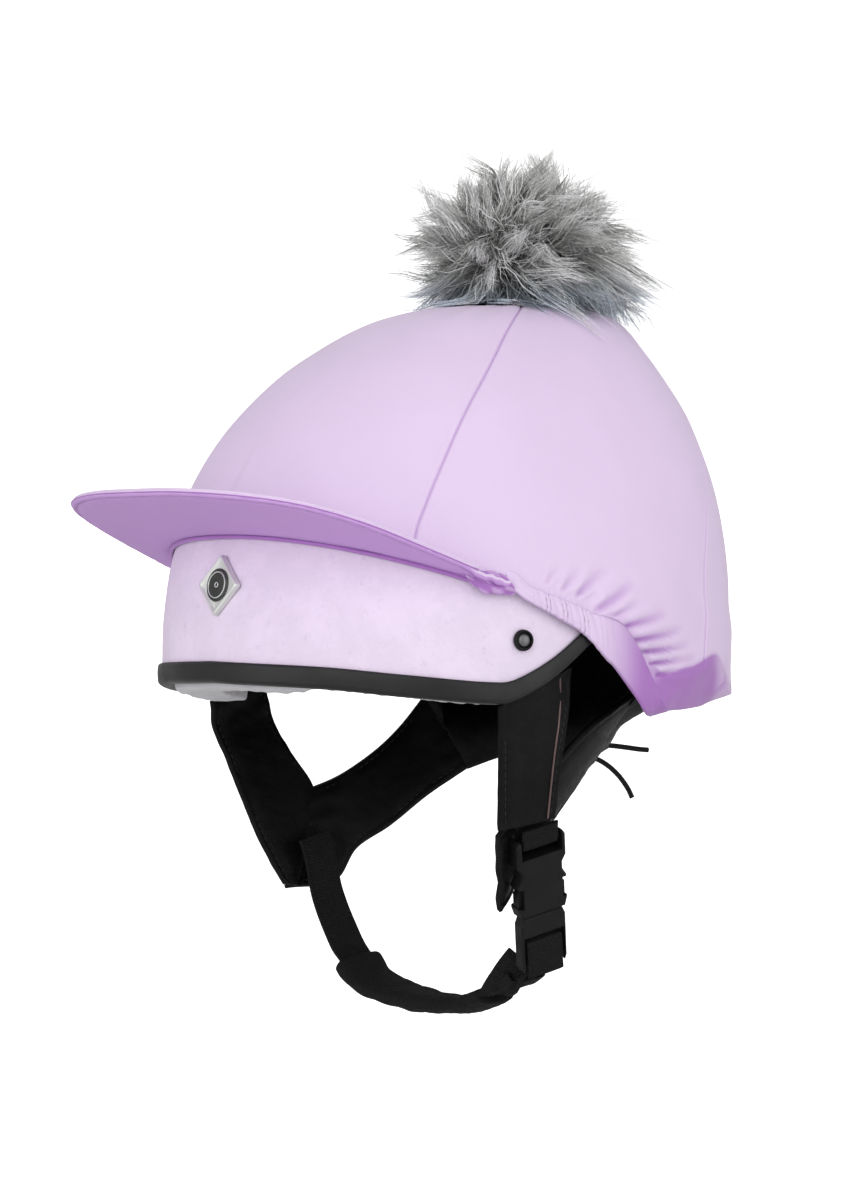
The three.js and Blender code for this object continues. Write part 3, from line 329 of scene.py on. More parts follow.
@dataclass
class Skull:
    """The skull's skin and its lower edges, with the sizes and tables of the solid model."""

    OFFSET = np.array([0.0, -40.964, -159.4])
    length: float = 266
    width: float = 217
    height: float = 183.5
    roundness: float = 2.25
    tuck: float = 20
    tilt: float = 4
    cover_wall: float = 1.4
    shell_wall: float = 3.5
    liner_wall: float = 17
    gap: float = 0.3
    nest: float = 1.3
    trim_wall: float = 1.4
    trim_height: float = 9.5
    trim_leg: float = 4
    bulge_fade: float = 16
    peak_end: float = 69
    peak_slope: float = 0.326
    peak_wall: float = 3.4
    peak_reach: float = 49
    peak_pitch: float = 0.34
    peak_sag: float = 0.12
    # degrees from the front, share of the reach
    peak_shares: Rows = (
        (0, 1),
        (10, 1),
        (20, 0.94),
        (30, 0.81),
        (40, 0.6),
        (50, 0.36),
        (60, 0.19),
        (66, 0.115),
        (69, 0.08),
    )
    # height share, lean share, girth share of each level section
    sections: Rows = (
        (-0.12, 0, 0.985),
        (-0.02, 0, 1),
        (0.11, 0.001, 1),
        (0.25, 0.003, 0.995),
        (0.392, 0.009, 0.97),
        (0.554, 0.022, 0.907),
        (0.7, 0.041, 0.8),
        (0.81, 0.059, 0.676),
        (0.89, 0.085, 0.555),
        (0.945, 0.112, 0.455),
        (0.977, 0.135, 0.35),
        (0.994, 0.15, 0.2),
        (1, 0.154, 0),
    )
    # degrees from the front, rim, hem, hem tuck, seam, seam tuck, corner
    edges: Rows = (
        (0, 0.079, 0.302, 0, 0.338, 0, 0.36),
        (30, 0.068, 0.302, 0, 0.338, 0, 0.36),
        (50, 0.049, 0.302, 0, 0.338, 0, 0.36),
        (69, 0.032, 0.302, 0, 0.338, 0, 0.36),
        (73, 0.044, 0.272, 0, 0.318, 0, 0.345),
        (80, 0.09, 0.229, 0, 0.289, 0, 0.316),
        (86, 0.15, 0.185, 0, 0.262, 0, 0.289),
        (90, 0.2, 0.131, 0, 0.237, 0, 0.267),
        (93, 0.225, 0.084, 0, 0.207, 0, 0.234),
        (96, 0.238, 0.048, 0.05, 0.153, 0, 0.185),
        (99, 0.236, 0.022, 0.2, 0.092, 0, 0.136),
        (103, 0.222, 0.018, 0.5, 0.04, 0.05, 0.109),
        (110, 0.185, 0.03, 0.85, 0.03, 0.35, 0.112),
        (121, 0.16, 0.035, 1, 0.03, 0.5, 0.138),
        (128, 0.142, 0.036, 1, 0.031, 0.52, 0.1),
        (136, 0.13, 0.038, 1, 0.034, 0.54, 0.06),
        (155, 0.125, 0.042, 1, 0.036, 0.55, 0.055),
        (180, 0.125, 0.045, 1, 0.038, 0.55, 0.055),
    )

    def __post_init__(self) -> None:
        """Prepares the tables for reading."""
        self.levels = np.array(self.sections, float)
        self.ats = np.arange(len(self.levels), dtype=float)
        self.rim_table = np.array(self.edges, float)
        self.dense = np.linspace(0, self.ats[-1], 6001)
        self.dense_heights = self.section(self.dense)[0]

    def section(self, at: Array) -> tuple[Array, Array, Array]:
        """Height, lean and share of the girth at places in the sections."""
        height, lean, girth = (smooth(self.ats, column, at) for column in self.levels.T)
        return height * self.height, lean * self.length, girth

    @property
    def shell_depth(self) -> float:
        """Depth of the shell's outside under the skin."""
        return self.cover_wall + self.nest

    @property
    def liner_depth(self) -> float:
        """Depth of the liner's outside under the skin."""
        return self.shell_depth + self.shell_wall + 2 * self.gap

    @property
    def head_depth(self) -> float:
        """Depth of what lies on the liner's inside."""
        return self.liner_depth + self.liner_wall + 2 * self.gap

    def folded(self, angle: Array) -> Array:
        """Angles as degrees from the front, 0 to 180."""
        return np.abs((np.asarray(angle, float) + 180) % 360 - 180)

    def edge(self, column: Edge, angle: Array) -> Array:
        """Height of the rim, hem, seam or corner over the base."""
        fold = self.folded(angle)
        height = smooth(self.rim_table[:, 0], self.rim_table[:, column], fold) * self.height
        if column is Edge.RIM:
            return height
        behind = np.clip((fold - 84) / 20, 0, 1)
        return height - self.tilt * behind * np.sin(np.radians(angle))

    def tucked(self, column: Edge, angle: Array) -> Array:
        """How far the hem or the seam is tucked in."""
        return smooth(self.rim_table[:, 0], self.rim_table[:, column], self.folded(angle)) * self.tuck

    def point(self, angle: Array, at: Array) -> Array:
        """Points of the skin at angles and places in the sections."""
        angle, at = np.broadcast_arrays(np.asarray(angle, float), np.asarray(at, float))
        height, lean, girth = self.section(at)
        turn = np.radians(angle)
        x = power(np.sin(turn), 2 / self.roundness) * self.width / 2 * girth
        y = -power(np.cos(turn), 2 / self.roundness) * self.length / 2 * girth
        return np.stack([x, y + lean, height], axis=-1)

    def normal(self, angle: Array, at: Array) -> Array:
        """Outward normals of the skin."""
        angle, at = np.broadcast_arrays(np.asarray(angle, float), np.asarray(at, float))
        turn = self.point(angle + 1, at) - self.point(angle - 1, at)
        rise = self.point(angle, at + 0.01) - self.point(angle, np.maximum(at - 0.01, 0))
        n = unit(np.cross(turn, rise))
        n[at > self.ats[-1] - 0.02] = (0, 0, 1)
        return n

    def place(self, height: Array) -> Array:
        """Places in the sections at heights over the base."""
        return np.interp(height, self.dense_heights, self.dense)

    def under(self, angle: Array, at: Array, depth: Array) -> Array:
        """Points at a depth under the skin."""
        angle, at, depth = np.broadcast_arrays(*(np.asarray(v, float) for v in (angle, at, depth)))
        return self.point(angle, at) - self.normal(angle, at) * depth[..., None]

    def junction(self, angle: Array) -> Array:
        """Height where the peak's root meets the skin."""
        end = self.point(self.peak_end, self.place(self.edge(Edge.SEAM, self.peak_end)))
        base = self.edge(Edge.HEM, self.peak_end)
        height = np.full(np.shape(angle), float(base))
        for _ in range(16):
            y = self.point(angle, self.place(height))[..., 1]
            height = base + self.peak_slope * (end[1] - y)
        return height

    def bulge(self, angle: Array, height: Array) -> Array:
        """How far the cover stands out over the trim."""
        top = self.edge(Edge.RIM, angle) + self.trim_height
        half = self.bulge_fade / 2
        meets = np.clip((top + half - self.edge(Edge.SEAM, angle)) / half, 0, 1)
        t = np.clip((height - top - 1) / self.bulge_fade, 0, 1)
        return (self.trim_wall + self.gap) * meets * (1 - ease(t))

    def peak_grid(self, angles: Array, shares: Array) -> Array:
        """Middle surface of the peak.

        Args:
            angles: Degrees from the front, one for each column.
            shares: Shares of the way from the skull to the peak's edge.

        Returns:
            Points, columns by shares by 3.
        """
        reaches = np.array(self.peak_shares, float)
        side = self.folded(angles)
        at = self.place(self.junction(side))
        level = unit(self.normal(angles, at) * (1, 1, 0))[:, None]
        reach = (smooth(reaches[:, 0], reaches[:, 1], side) * self.peak_reach)[:, None, None]
        share = np.asarray(shares)[None, :, None]
        root = self.under(angles, at, self.shell_depth - self.gap)[:, None]
        rise = reach * share * self.peak_pitch * (1 - self.peak_sag * (1 - share))
        return root + level * (reach + self.shell_depth) * share + np.array([0, 0, 1.0]) * rise


def slab(
    name: str,
    mid: Array,
    thick: Callable[[Array], tuple[Array, Array]],
    crinkle: Array | float = 0,
    painted_shade: Callable[[Array], Array] | None = None,
) -> bpy.types.Object:
    """Closed band of cloth or leather about a grid.

    Args:
        name: The object's name.
        mid: Points of its middle surface, along by across by 3, in millimetres.
        thick: Gives the depths outwards and inwards for distances from the near edge.
        crinkle: Extra move of the whole band along its normals.
        painted_shade: Gives how dark the painted shade is, 0 to 1, for the same distances.

    Returns:
        The band, closed at its edges and ends.
    """
    normals = grid_normals(mid)
    across = travel(mid.swapaxes(0, 1)).T
    edge = np.minimum(across, across[:, -1:] - across)
    out, back = thick(edge)
    shift = np.broadcast_to(np.asarray(crinkle, float), across.shape)
    front = mid + normals * (out + shift)[..., None]
    rear = mid + normals * (shift - back)[..., None]
    loops = np.concatenate([front, rear[:, ::-1][:, 1:-1]], axis=1)
    obj = capped(name, loops)
    # painted shade: tone written on the band where shade falls
    if painted_shade is not None:
        tone = painted_shade(edge)
        tone = np.concatenate([tone, tone[:, ::-1][:, 1:-1]], axis=1)
        write_painted_shade(obj, np.concatenate([tone[:1], tone[:1], tone, tone[-1:], tone[-1:]]))
    return obj


def grid_normals(grid: Array) -> Array:
    """Unit normals of a grid of points."""
    return unit(np.cross(np.gradient(grid, axis=0), np.gradient(grid, axis=1)))


def rounded(edge: Array, half: float, radius: float) -> Array:
    """Half thickness that runs out in a round edge of a radius."""
    t = np.clip(edge / radius, 0, 1)
    return half * np.sqrt(np.clip(1 - (1 - t) ** 2, 0, 1))


def ruled(front: Rows, rear: Rows, along: int, across: int) -> Array:
    """Grid between two smooth lines."""
    a, b = catmull(np.array(front), along), catmull(np.array(rear), along)
    t = np.linspace(0, 1, across)[None, :, None]
    return mix(a[:, None], b[:, None], t)


def bars(
    name: str, centres: Array, along: Array, normals: Array, length: float, radius: float
) -> bpy.types.Object:
    """Row of short rounded stitches.

    Args:
        name: The object's name.
        centres: Stitch centres, n by 3.
        along: Direction of each stitch.
        normals: Direction out of the cloth.
        length: Length of a stitch.
        radius: Thickness of the thread.

    Returns:
        The stitches as one object.
    """
    along, side = unit(along), unit(np.cross(along, normals))
    up = np.cross(side, along)
    sizes = np.array([0.15, 0.8, 1, 0.8, 0.15]) * radius
    places = np.array([-0.5, -0.35, 0, 0.35, 0.5]) * length
    turns = np.radians(np.arange(6) * 60)
    wide, high = np.cos(turns)[None, :, None], np.sin(turns)[None, :, None]
    ring = wide * side[:, None, None] + high * up[:, None, None] * 0.8
    run = along[:, None, None] * places[None, :, None, None]
    points = centres[:, None, None] + run + ring * sizes[None, :, None, None]
    faces = [grid_faces(5, 6, close_m=True, start=30 * k) for k in range(len(centres))]
    return make_mesh(name, points.reshape(-1, 3), np.concatenate(faces), np.zeros((30 * len(centres), 2)))


def stitched(
    name: str, line: Array, normals: Array, pitch: float, length: float, radius: float
) -> bpy.types.Object:
    """Stitches along a line of points, one each pitch."""
    run = travel(line)
    places = np.arange(pitch, run[-1] - pitch, pitch)

    def read(rows: Array) -> Array:
        """Rows of the line read at the stitches."""
        return np.stack([np.interp(places, run, column) for column in rows.T], axis=1)

    return bars(name, read(line), read(np.gradient(line, axis=0)), unit(read(normals)), length, radius)


def lathe(name: str, profile: Rows, centre: Array, basis: Array, segments: int = 72) -> bpy.types.Object:
    """Turned part: radius and height rows about the third direction of a basis."""
    profile = catmull(np.array(profile, float), 6 * len(profile))
    turns = circle(segments)
    ring = np.cos(turns)[None, :, None] * basis[0] + np.sin(turns)[None, :, None] * basis[1]
    radius, height = np.maximum(profile[:, 0], 0)[:, None, None], profile[:, 1][:, None, None]
    points = centre + ring * radius + height * basis[2]
    return face_out(grid_object(name, points, close_m=True))


def joined(name: str, parts: Sequence[bpy.types.Object]) -> bpy.types.Object:
    """Objects joined into one, which keeps each one's materials."""
    first = parts[0]
    with bpy.context.temp_override(active_object=first, selected_editable_objects=list(parts)):
        bpy.ops.object.join()
    first.name = first.data.name = name
    return first


# Shader effects


def srgb(r: float, g: float, b: float) -> tuple[float, float, float, float]:
    """Linear colour of a screen colour with parts 0 to 255."""
    parts = [c / 255 for c in (r, g, b)]
    return tuple(c / 12.92 if c <= 0.04045 else ((c + 0.055) / 1.055) ** 2.4 for c in parts) + (1.0,)


class Nodes:
    """Adds nodes to a shader tree and joins them."""

    def __init__(self, tree: bpy.types.NodeTree) -> None:
        """Starts work on a tree."""
        self.tree = tree

    def add(self, kind: str, inputs: dict | None = None, **settings: object) -> bpy.types.Node:
        """Adds a node.

        Args:
            kind: Blender's name of the node type.
            inputs: A value or an output socket for each named or numbered input.
            **settings: Properties of the node.

        Returns:
            The new node.
        """
        node = self.tree.nodes.new(kind)
        for key, value in settings.items():
            setattr(node, key, value)
        self.feed(node, inputs or {})
        return node

    def feed(self, node: bpy.types.Node, inputs: dict) -> None:
        """Gives a node's inputs their values or output sockets."""
        for key, value in inputs.items():
            if isinstance(value, bpy.types.NodeSocket):
                self.tree.links.new(value, node.inputs[key])
            else:
                node.inputs[key].default_value = value

    def math(self, operation: str, *values: object) -> bpy.types.NodeSocket:
        """Result of a math node."""
        return self.add("ShaderNodeMath", dict(enumerate(values)), operation=operation).outputs[0]

    def humps(self, value: object, rate: float = np.pi) -> bpy.types.NodeSocket:
        """Even humps from 0 to 1 along a value."""
        return self.math("ABSOLUTE", self.math("SINE", self.math("MULTIPLY", value, rate)))

    def ramp(
        self, value: bpy.types.NodeSocket, low: float, high: float, start: float = 0, end: float = 1
    ) -> bpy.types.NodeSocket:
        """Value moved from low..high to start..end, smoothly."""
        inputs = {"Value": value, 1: low, 2: high, 3: start, 4: end}
        return self.add("ShaderNodeMapRange", inputs, interpolation_type="SMOOTHSTEP").outputs[0]

    def blend(self, factor: object, a: object, b: object, kind: str = "MIX") -> bpy.types.NodeSocket:
        """Colour between a and b."""
        node = self.add("ShaderNodeMix", {0: factor, 6: a, 7: b}, data_type="RGBA", blend_type=kind)
        return node.outputs[2]

    def noise(
        self, place: object, scale: object, detail: float = 3, rough: float = 0.5
    ) -> bpy.types.NodeSocket:
        """Noise value at a place."""
        inputs = {"Vector": place, "Scale": scale, "Detail": detail, "Roughness": rough}
        return self.add("ShaderNodeTexNoise", inputs).outputs[0]


class Effect:
    """A shared shader node group."""

    made: dict[str, bpy.types.NodeTree] = {}

    def __init__(self, name: str, inputs: dict[str, object], outputs: Sequence[str], fill: Callable) -> None:
        """Describes the group.

        Args:
            name: The group's name.
            inputs: Default of each named input; a tuple of three is a vector.
            outputs: Names of the value outputs.
            fill: Builds the group from a Nodes and its inputs, and returns its outputs.
        """
        self.name, self.inputs, self.outputs, self.fill = name, inputs, outputs, fill

    def tree(self) -> bpy.types.NodeTree:
        """The group's tree, built once."""
        if self.name in Effect.made:
            return Effect.made[self.name]
        tree = bpy.data.node_groups.new(self.name, "ShaderNodeTree")
        for key, value in self.inputs.items():
            kind = "NodeSocketVector" if isinstance(value, tuple) else "NodeSocketFloat"
            tree.interface.new_socket(key, in_out="INPUT", socket_type=kind).default_value = value
        for key in self.outputs:
            tree.interface.new_socket(key, in_out="OUTPUT", socket_type="NodeSocketFloat")
        nodes = Nodes(tree)
        start = nodes.add("NodeGroupInput")
        results = self.fill(nodes, start.outputs)
        nodes.add("NodeGroupOutput", dict(zip(self.outputs, results)))
        Effect.made[self.name] = tree
        return tree

    def use(self, nodes: Nodes, **values: object) -> bpy.types.NodeOutputs:
        """Adds the group to a material and returns its outputs."""
        return nodes.add("ShaderNodeGroup", values, node_tree=self.tree()).outputs


def _knit(nodes: Nodes, given: bpy.types.NodeOutputs) -> list:
    """Fine loops in columns, a little uneven."""
    warp = nodes.noise(given["Place"], 90.0)
    spot = nodes.add("ShaderNodeVectorMath", {0: given["Place"], 3: given["Scale"]}, operation="SCALE")
    parts = nodes.add("ShaderNodeSeparateXYZ", {0: spot.outputs[0]}).outputs
    shifted = nodes.math("ADD", parts[0], nodes.math("MULTIPLY", warp, 1.2))
    half = nodes.math("MULTIPLY", nodes.math("FLOOR", shifted), 0.5)
    loops = nodes.math("ADD", nodes.humps(shifted), nodes.humps(nodes.math("ADD", parts[1], half)))
    height = nodes.math("MULTIPLY", loops, 0.5)
    cloud = nodes.noise(given["Place"], 25.0, 4)
    return [height, nodes.ramp(cloud, 0.3, 0.7)]


def _grain(nodes: Nodes, given: bpy.types.NodeOutputs) -> list:
    """Leather pores and creases."""
    inputs = {"Vector": given["Place"], "Scale": given["Scale"]}
    cells = nodes.add("ShaderNodeTexVoronoi", inputs, feature="DISTANCE_TO_EDGE")
    pebble = nodes.ramp(cells.outputs["Distance"], 0.0, 0.25)
    soft = nodes.noise(given["Place"], 45.0, 5, 0.6)
    height = nodes.math("ADD", nodes.math("MULTIPLY", pebble, 0.6), nodes.math("MULTIPLY", soft, 0.8))
    return [height, nodes.ramp(soft, 0.35, 0.7)]


def _nap(nodes: Nodes, given: bpy.types.NodeOutputs) -> list:
    """Brushed nap: fine fuzz, cloudy patches and small specks."""
    fuzz = nodes.noise(given["Place"], nodes.math("MULTIPLY", given["Scale"], 9.0), 4, 0.7)
    cloud = nodes.noise(given["Place"], nodes.math("MULTIPLY", given["Scale"], 0.7), 6, 0.75)
    specks = nodes.noise(given["Place"], nodes.math("MULTIPLY", given["Scale"], 2.6), 3, 0.8)
    return [fuzz, nodes.ramp(cloud, 0.38, 0.62), nodes.ramp(specks, 0.6, 0.72)]


def _webbing(nodes: Nodes, given: bpy.types.NodeOutputs) -> list:
    """Ribs across a woven band, with a herringbone of threads."""
    parts = nodes.add("ShaderNodeSeparateXYZ", {0: given["Place"]}).outputs
    u = nodes.math("MULTIPLY", parts[0], given["Scale"])
    v = nodes.math("MULTIPLY", parts[1], given["Scale"])
    zig = nodes.math("PINGPONG", v, 1.0)
    ribs = nodes.humps(nodes.math("ADD", u, zig))
    threads = nodes.humps(v, 2 * math.pi)
    fuzz = nodes.noise(given["Place"], 2500.0, 2)
    height = nodes.math("ADD", nodes.math("MULTIPLY", ribs, 0.7), nodes.math("MULTIPLY", threads, 0.3))
    return [nodes.math("ADD", height, nodes.math("MULTIPLY", fuzz, 0.3)), height]


def _wear(nodes: Nodes, given: bpy.types.NodeOutputs) -> list:
    """Handling marks: soft smudges and fine scuffs."""
    smudge = nodes.noise(given["Place"], given["Scale"], 5, 0.65)
    stretch = nodes.add("ShaderNodeMapping", {"Vector": given["Place"], "Scale": (8.0, 1.0, 2.0)}).outputs[0]
    scuff = nodes.noise(stretch, nodes.math("MULTIPLY", given["Scale"], 6.0), 6, 0.7)
    return [nodes.ramp(smudge, 0.35, 0.7), nodes.ramp(scuff, 0.55, 0.75)]


PLACE = (0.0, 0.0, 0.0)
KNIT = Effect("knit", {"Place": PLACE, "Scale": 1400.0}, ["Height", "Cloud"], _knit)
GRAIN = Effect("grain", {"Place": PLACE, "Scale": 900.0}, ["Height", "Patch"], _grain)
NAP = Effect("nap", {"Place": PLACE, "Scale": 60.0}, ["Fuzz", "Cloud", "Specks"], _nap)
WEBBING = Effect("woven_band", {"Place": PLACE, "Scale": 660.0}, ["Height", "Rib"], _webbing)
WEAR = Effect("handling", {"Place": PLACE, "Scale": 30.0}, ["Smudge", "Scuff"], _wear)


@dataclass(frozen=True)
class Finish:
    """What every finish shares: a Principled surface with its uniform values."""

    name: str
    slot: Slot
    color: tuple = (0.5, 0.5, 0.5, 1.0)
    roughness: float = 0.5
    metallic: float = 0.0
    specular: float = 0.5
    sheen: float = 0.0
    coat: float = 0.0
    sheen_roughness: float = 0.4

    def material(self) -> bpy.types.Material:
        """The finish's material, built once."""
        known = bpy.data.materials.get(self.name)
        if known:
            return known
        material = bpy.data.materials.new(self.name)
        material.use_nodes = True
        nodes = Nodes(material.node_tree)
        surface = material.node_tree.nodes["Principled BSDF"]
        values = {"Base Color": self.color, "Roughness": self.roughness, "Metallic": self.metallic}
        values |= {"Specular IOR Level": self.specular, "Sheen Weight": self.sheen, "Coat Weight": self.coat}
        nodes.feed(surface, values | {"Sheen Roughness": self.sheen_roughness})
        self.detail(nodes, surface)
        return material

    def detail(self, nodes: Nodes, surface: bpy.types.Node) -> None:
        """Adds the finish's own detail."""

    def bump(self, nodes: Nodes, surface: bpy.types.Node, heights: Sequence[tuple[object, float]]) -> None:
        """Feeds the normal from heights, each with its depth in metres."""
        normal = None
        for height, depth in heights:
            inputs = {"Height": height, "Distance": depth, "Strength": 1.0}
            if normal is not None:
                inputs["Normal"] = normal
            normal = nodes.add("ShaderNodeBump", inputs).outputs[0]
        nodes.feed(surface, {"Normal": normal})

    def shade(self, factor: float) -> tuple:
        """The finish's colour made darker or lighter."""
        return tuple(c * factor for c in self.color[:3]) + (1.0,)


@dataclass(frozen=True)
class Knit(Finish):
    """Smooth stretch knit."""

    scale: float = 1300.0
    depth: float = 0.00003
    # painted shade in the hollows between the knit's loops: its colour and share
    gap: tuple = (0.3, 0.2, 0.35, 1)
    loop_shade_share: float = 0.06
    # colour of the painted shade in folds, seams and turned-under parts
    shade_tint: tuple = (0.41, 0.18, 0.53, 1.0)

    def detail(self, nodes: Nodes, surface: bpy.types.Node) -> None:
        """Loops of the knit with painted shade in their hollows, a faint unevenness of tone, and painted
        shade in folds and turned-under parts.
        """
        place = nodes.add("ShaderNodeUVMap", uv_map="along").outputs[0]
        knit = KNIT.use(nodes, Place=place, Scale=self.scale)
        color = nodes.blend(knit["Cloud"], self.shade(0.975), self.color)
        # painted shade read from each vertex
        painted_shade = nodes.add("ShaderNodeAttribute", attribute_name="painted_shade").outputs["Fac"]
        color = nodes.blend(painted_shade, color, self.shade_tint)
        # painted shade in the hollows between loops
        color = nodes.blend(knit["Height"], nodes.blend(self.loop_shade_share, color, self.gap), color)
        rough = nodes.ramp(knit["Cloud"], 0, 1, self.roughness - 0.05, self.roughness + 0.05)
        nodes.feed(surface, {"Base Color": color, "Roughness": rough})
        self.bump(nodes, surface, [(knit["Height"], self.depth)])


@dataclass(frozen=True)
class Suede(Finish):
    """Brushed suede-like cloth."""

    scale: float = 60.0
    speck: tuple = (0.5, 0.4, 0.6, 1.0)
    speck_share: float = 0.22

    def detail(self, nodes: Nodes, surface: bpy.types.Node) -> None:
        """Nap, cloudy patches and specks."""
        place = nodes.add("ShaderNodeTexCoord").outputs["Object"]
        nap = NAP.use(nodes, Place=place, Scale=self.scale)
        color = nodes.blend(nap["Cloud"], self.shade(0.94), self.color)
        color = nodes.blend(nodes.math("MULTIPLY", nap["Specks"], self.speck_share), color, self.speck)
        nodes.feed(surface, {"Base Color": color, "Roughness": nodes.ramp(nap["Fuzz"], 0.2, 0.8, 0.8, 1.0)})
        self.bump(nodes, surface, [(nap["Fuzz"], 0.0004), (nap["Cloud"], 0.00015)])


@dataclass(frozen=True)
class Hide(Finish):
    """Grained leather, foam skin or rubber."""

    scale: float = 900.0
    depth: float = 0.0001
    patch: float = 0.5
    smudges: float = 35.0

    def detail(self, nodes: Nodes, surface: bpy.types.Node) -> None:
        """Grain and the patches that handling leaves."""
        place = nodes.add("ShaderNodeTexCoord").outputs["Object"]
        grain = GRAIN.use(nodes, Place=place, Scale=self.scale)
        wear = WEAR.use(nodes, Place=place, Scale=self.smudges)
        color = nodes.blend(wear["Smudge"], self.color, self.shade(1 + self.patch))
        rough = nodes.ramp(grain["Patch"], 0, 1, self.roughness - 0.07, self.roughness + 0.1)
        nodes.feed(surface, {"Base Color": color, "Roughness": rough})
        self.bump(nodes, surface, [(grain["Height"], self.depth)])


@dataclass(frozen=True)
class Webbing(Finish):
    """Woven band."""

    scale: float = 660.0

    def detail(self, nodes: Nodes, surface: bpy.types.Node) -> None:
        """Ribs and threads, with painted highlight on the rib tops and painted shade between them."""
        place = nodes.add("ShaderNodeUVMap", uv_map="along").outputs[0]
        woven = WEBBING.use(nodes, Place=place, Scale=self.scale)
        # painted highlight on the rib tops, painted shade in the hollows between
        nodes.feed(surface, {"Base Color": nodes.blend(woven["Rib"], self.shade(0.45), self.shade(1.5))})
        self.bump(nodes, surface, [(woven["Height"], 0.0003)])


@dataclass(frozen=True)
class Metal(Finish):
    """Brushed or moulded hard finish with scuffs."""

    brush: float = 0.00002
    smudges: float = 60.0
    scuff_share: float = 0.35

    def detail(self, nodes: Nodes, surface: bpy.types.Node) -> None:
        """Smudges in the gloss and fine scuffs."""
        place = nodes.add("ShaderNodeTexCoord").outputs["Object"]
        wear = WEAR.use(nodes, Place=place, Scale=self.smudges)
        rough = nodes.ramp(wear["Smudge"], 0, 1, self.roughness, self.roughness + 0.18)
        scuffs = nodes.math("MULTIPLY", wear["Scuff"], self.scuff_share)
        color = nodes.blend(scuffs, self.color, self.shade(1.4))
        nodes.feed(surface, {"Base Color": color, "Roughness": rough})
        self.bump(nodes, surface, [(nodes.noise(place, 3000.0, 3), self.brush)])


@dataclass(frozen=True)
class Fur(Finish):
    """Fur whose tone is written on each hair."""

    def detail(self, nodes: Nodes, surface: bpy.types.Node) -> None:
        """Tone along each hair, with painted shade at the roots and a darker, cooler painted shade low down.
        """
        tint = nodes.add("ShaderNodeAttribute", attribute_name="tint").outputs["Color"]
        place = nodes.add("ShaderNodeTexCoord").outputs["Object"]
        fleck = nodes.noise(place, 900.0, 2)
        dark = nodes.blend(1.0, tint, (0.7, 0.7, 0.7, 1), "MULTIPLY")
        nodes.feed(surface, {"Base Color": nodes.blend(nodes.ramp(fleck, 0.35, 0.65), dark, tint)})


SILK = Knit("stretch_silk", Slot.SILK, srgb(226, 205, 236), 0.55, specular=0.35, sheen=0.25)
# painted shade: a darker copy of the silk for the peak's downward faces
UNDERSIDE_SHADE = Knit("peak_underside_shade", Slot.SILK, srgb(201, 157, 221), 0.6, specular=0.25, sheen=0.05)
SUEDE = Suede("band_suede", Slot.SUEDE, srgb(235, 220, 241), 0.9, specular=0.2, sheen=0.2)
THREAD = Knit("lilac_thread", Slot.SILK, srgb(196, 170, 208), 0.6)
RUBBER = Hide(
    "edge_rubber", Slot.RUBBER, srgb(27, 27, 28), 0.36, specular=0.3, scale=1500.0, depth=0.00003, patch=0.3
)
FOAM = Hide("foam_skin", Slot.FOAM, srgb(19, 19, 21), 0.85, specular=0.25, scale=500.0, depth=0.0002)
SATIN = Suede(
    "pad_satin", Slot.SATIN, srgb(205, 203, 208), 0.35, specular=0.6, sheen=0.3, speck=srgb(120, 120, 124)
)
LEATHER = Hide(
    "harness_leather",
    Slot.LEATHER,
    srgb(10, 10, 11),
    0.4,
    specular=0.11,
    scale=1100.0,
    depth=0.00012,
    patch=0.8,
)
BLACK_THREAD = Hide(
    "black_thread", Slot.LEATHER, srgb(34, 33, 34), 0.6, specular=0.3, scale=3000.0, depth=0.00002
)
TAPE = Webbing("black_webbing", Slot.WEBBING, srgb(23, 22, 23), 0.8, specular=0.14)
PLASTIC = Metal("moulded_plastic", Slot.PLASTIC, srgb(15, 15, 16), 0.42, specular=0.2, brush=0.00003)
GUNMETAL = Metal("gunmetal", Slot.GUNMETAL, srgb(150, 150, 152), 0.28, metallic=1.0)
SILVER = Metal("brushed_silver", Slot.SILVER, srgb(222, 224, 220), 0.38, metallic=0.65)
ENAMEL = Metal("dark_enamel", Slot.ENAMEL, srgb(26, 30, 27), 0.2, coat=0.6)
HAIR = Fur("grey_fur", Slot.FUR, srgb(140, 140, 140), 0.55, specular=0.3, sheen=0.15)
BROWN = Hide("brown_piping", Slot.LEATHER, srgb(92, 74, 72), 0.5, specular=0.4, scale=2000.0, depth=0.00003)
LACE = Hide("lace_cord", Slot.WEBBING, srgb(24, 23, 24), 0.7, specular=0.25, scale=2600.0, depth=0.0003)


# Pieces of the cap


def folds_of(folds: Rows, angle: Array, height: Array, stretch: float = 2.05) -> Array:
    """Depth of valleys along lines drawn on the skin.

    Args:
        folds: Rows of angle and height at the start, the same at the end, half width and depth.
        angle: Degrees from the front, folded to one side.
        height: Heights over the base.
        stretch: Millimetres along the skin for each degree.

    Returns:
        Depth at each point, below zero on the ridges beside a valley.
    """
    total = np.zeros(np.shape(height))
    for a0, h0, a1, h1, width, depth in folds:
        start = np.array([a0 * stretch, h0])
        run = np.array([a1 * stretch, h1]) - start
        spot = np.stack([angle * stretch, height], axis=-1) - start
        t = np.clip(spot @ run / (run @ run), 0, 1)
        away = np.linalg.norm(spot - t[..., None] * run, axis=-1) / (width * (0.55 + 0.9 * t))
        fade = (1 - t) ** 0.9 * np.clip(t * 6 + 0.4, 0, 1)
        total += depth * fade * (np.exp(-(away**2)) - 0.55 * np.exp(-((away - 1.75) ** 2) * 1.3))
    return total


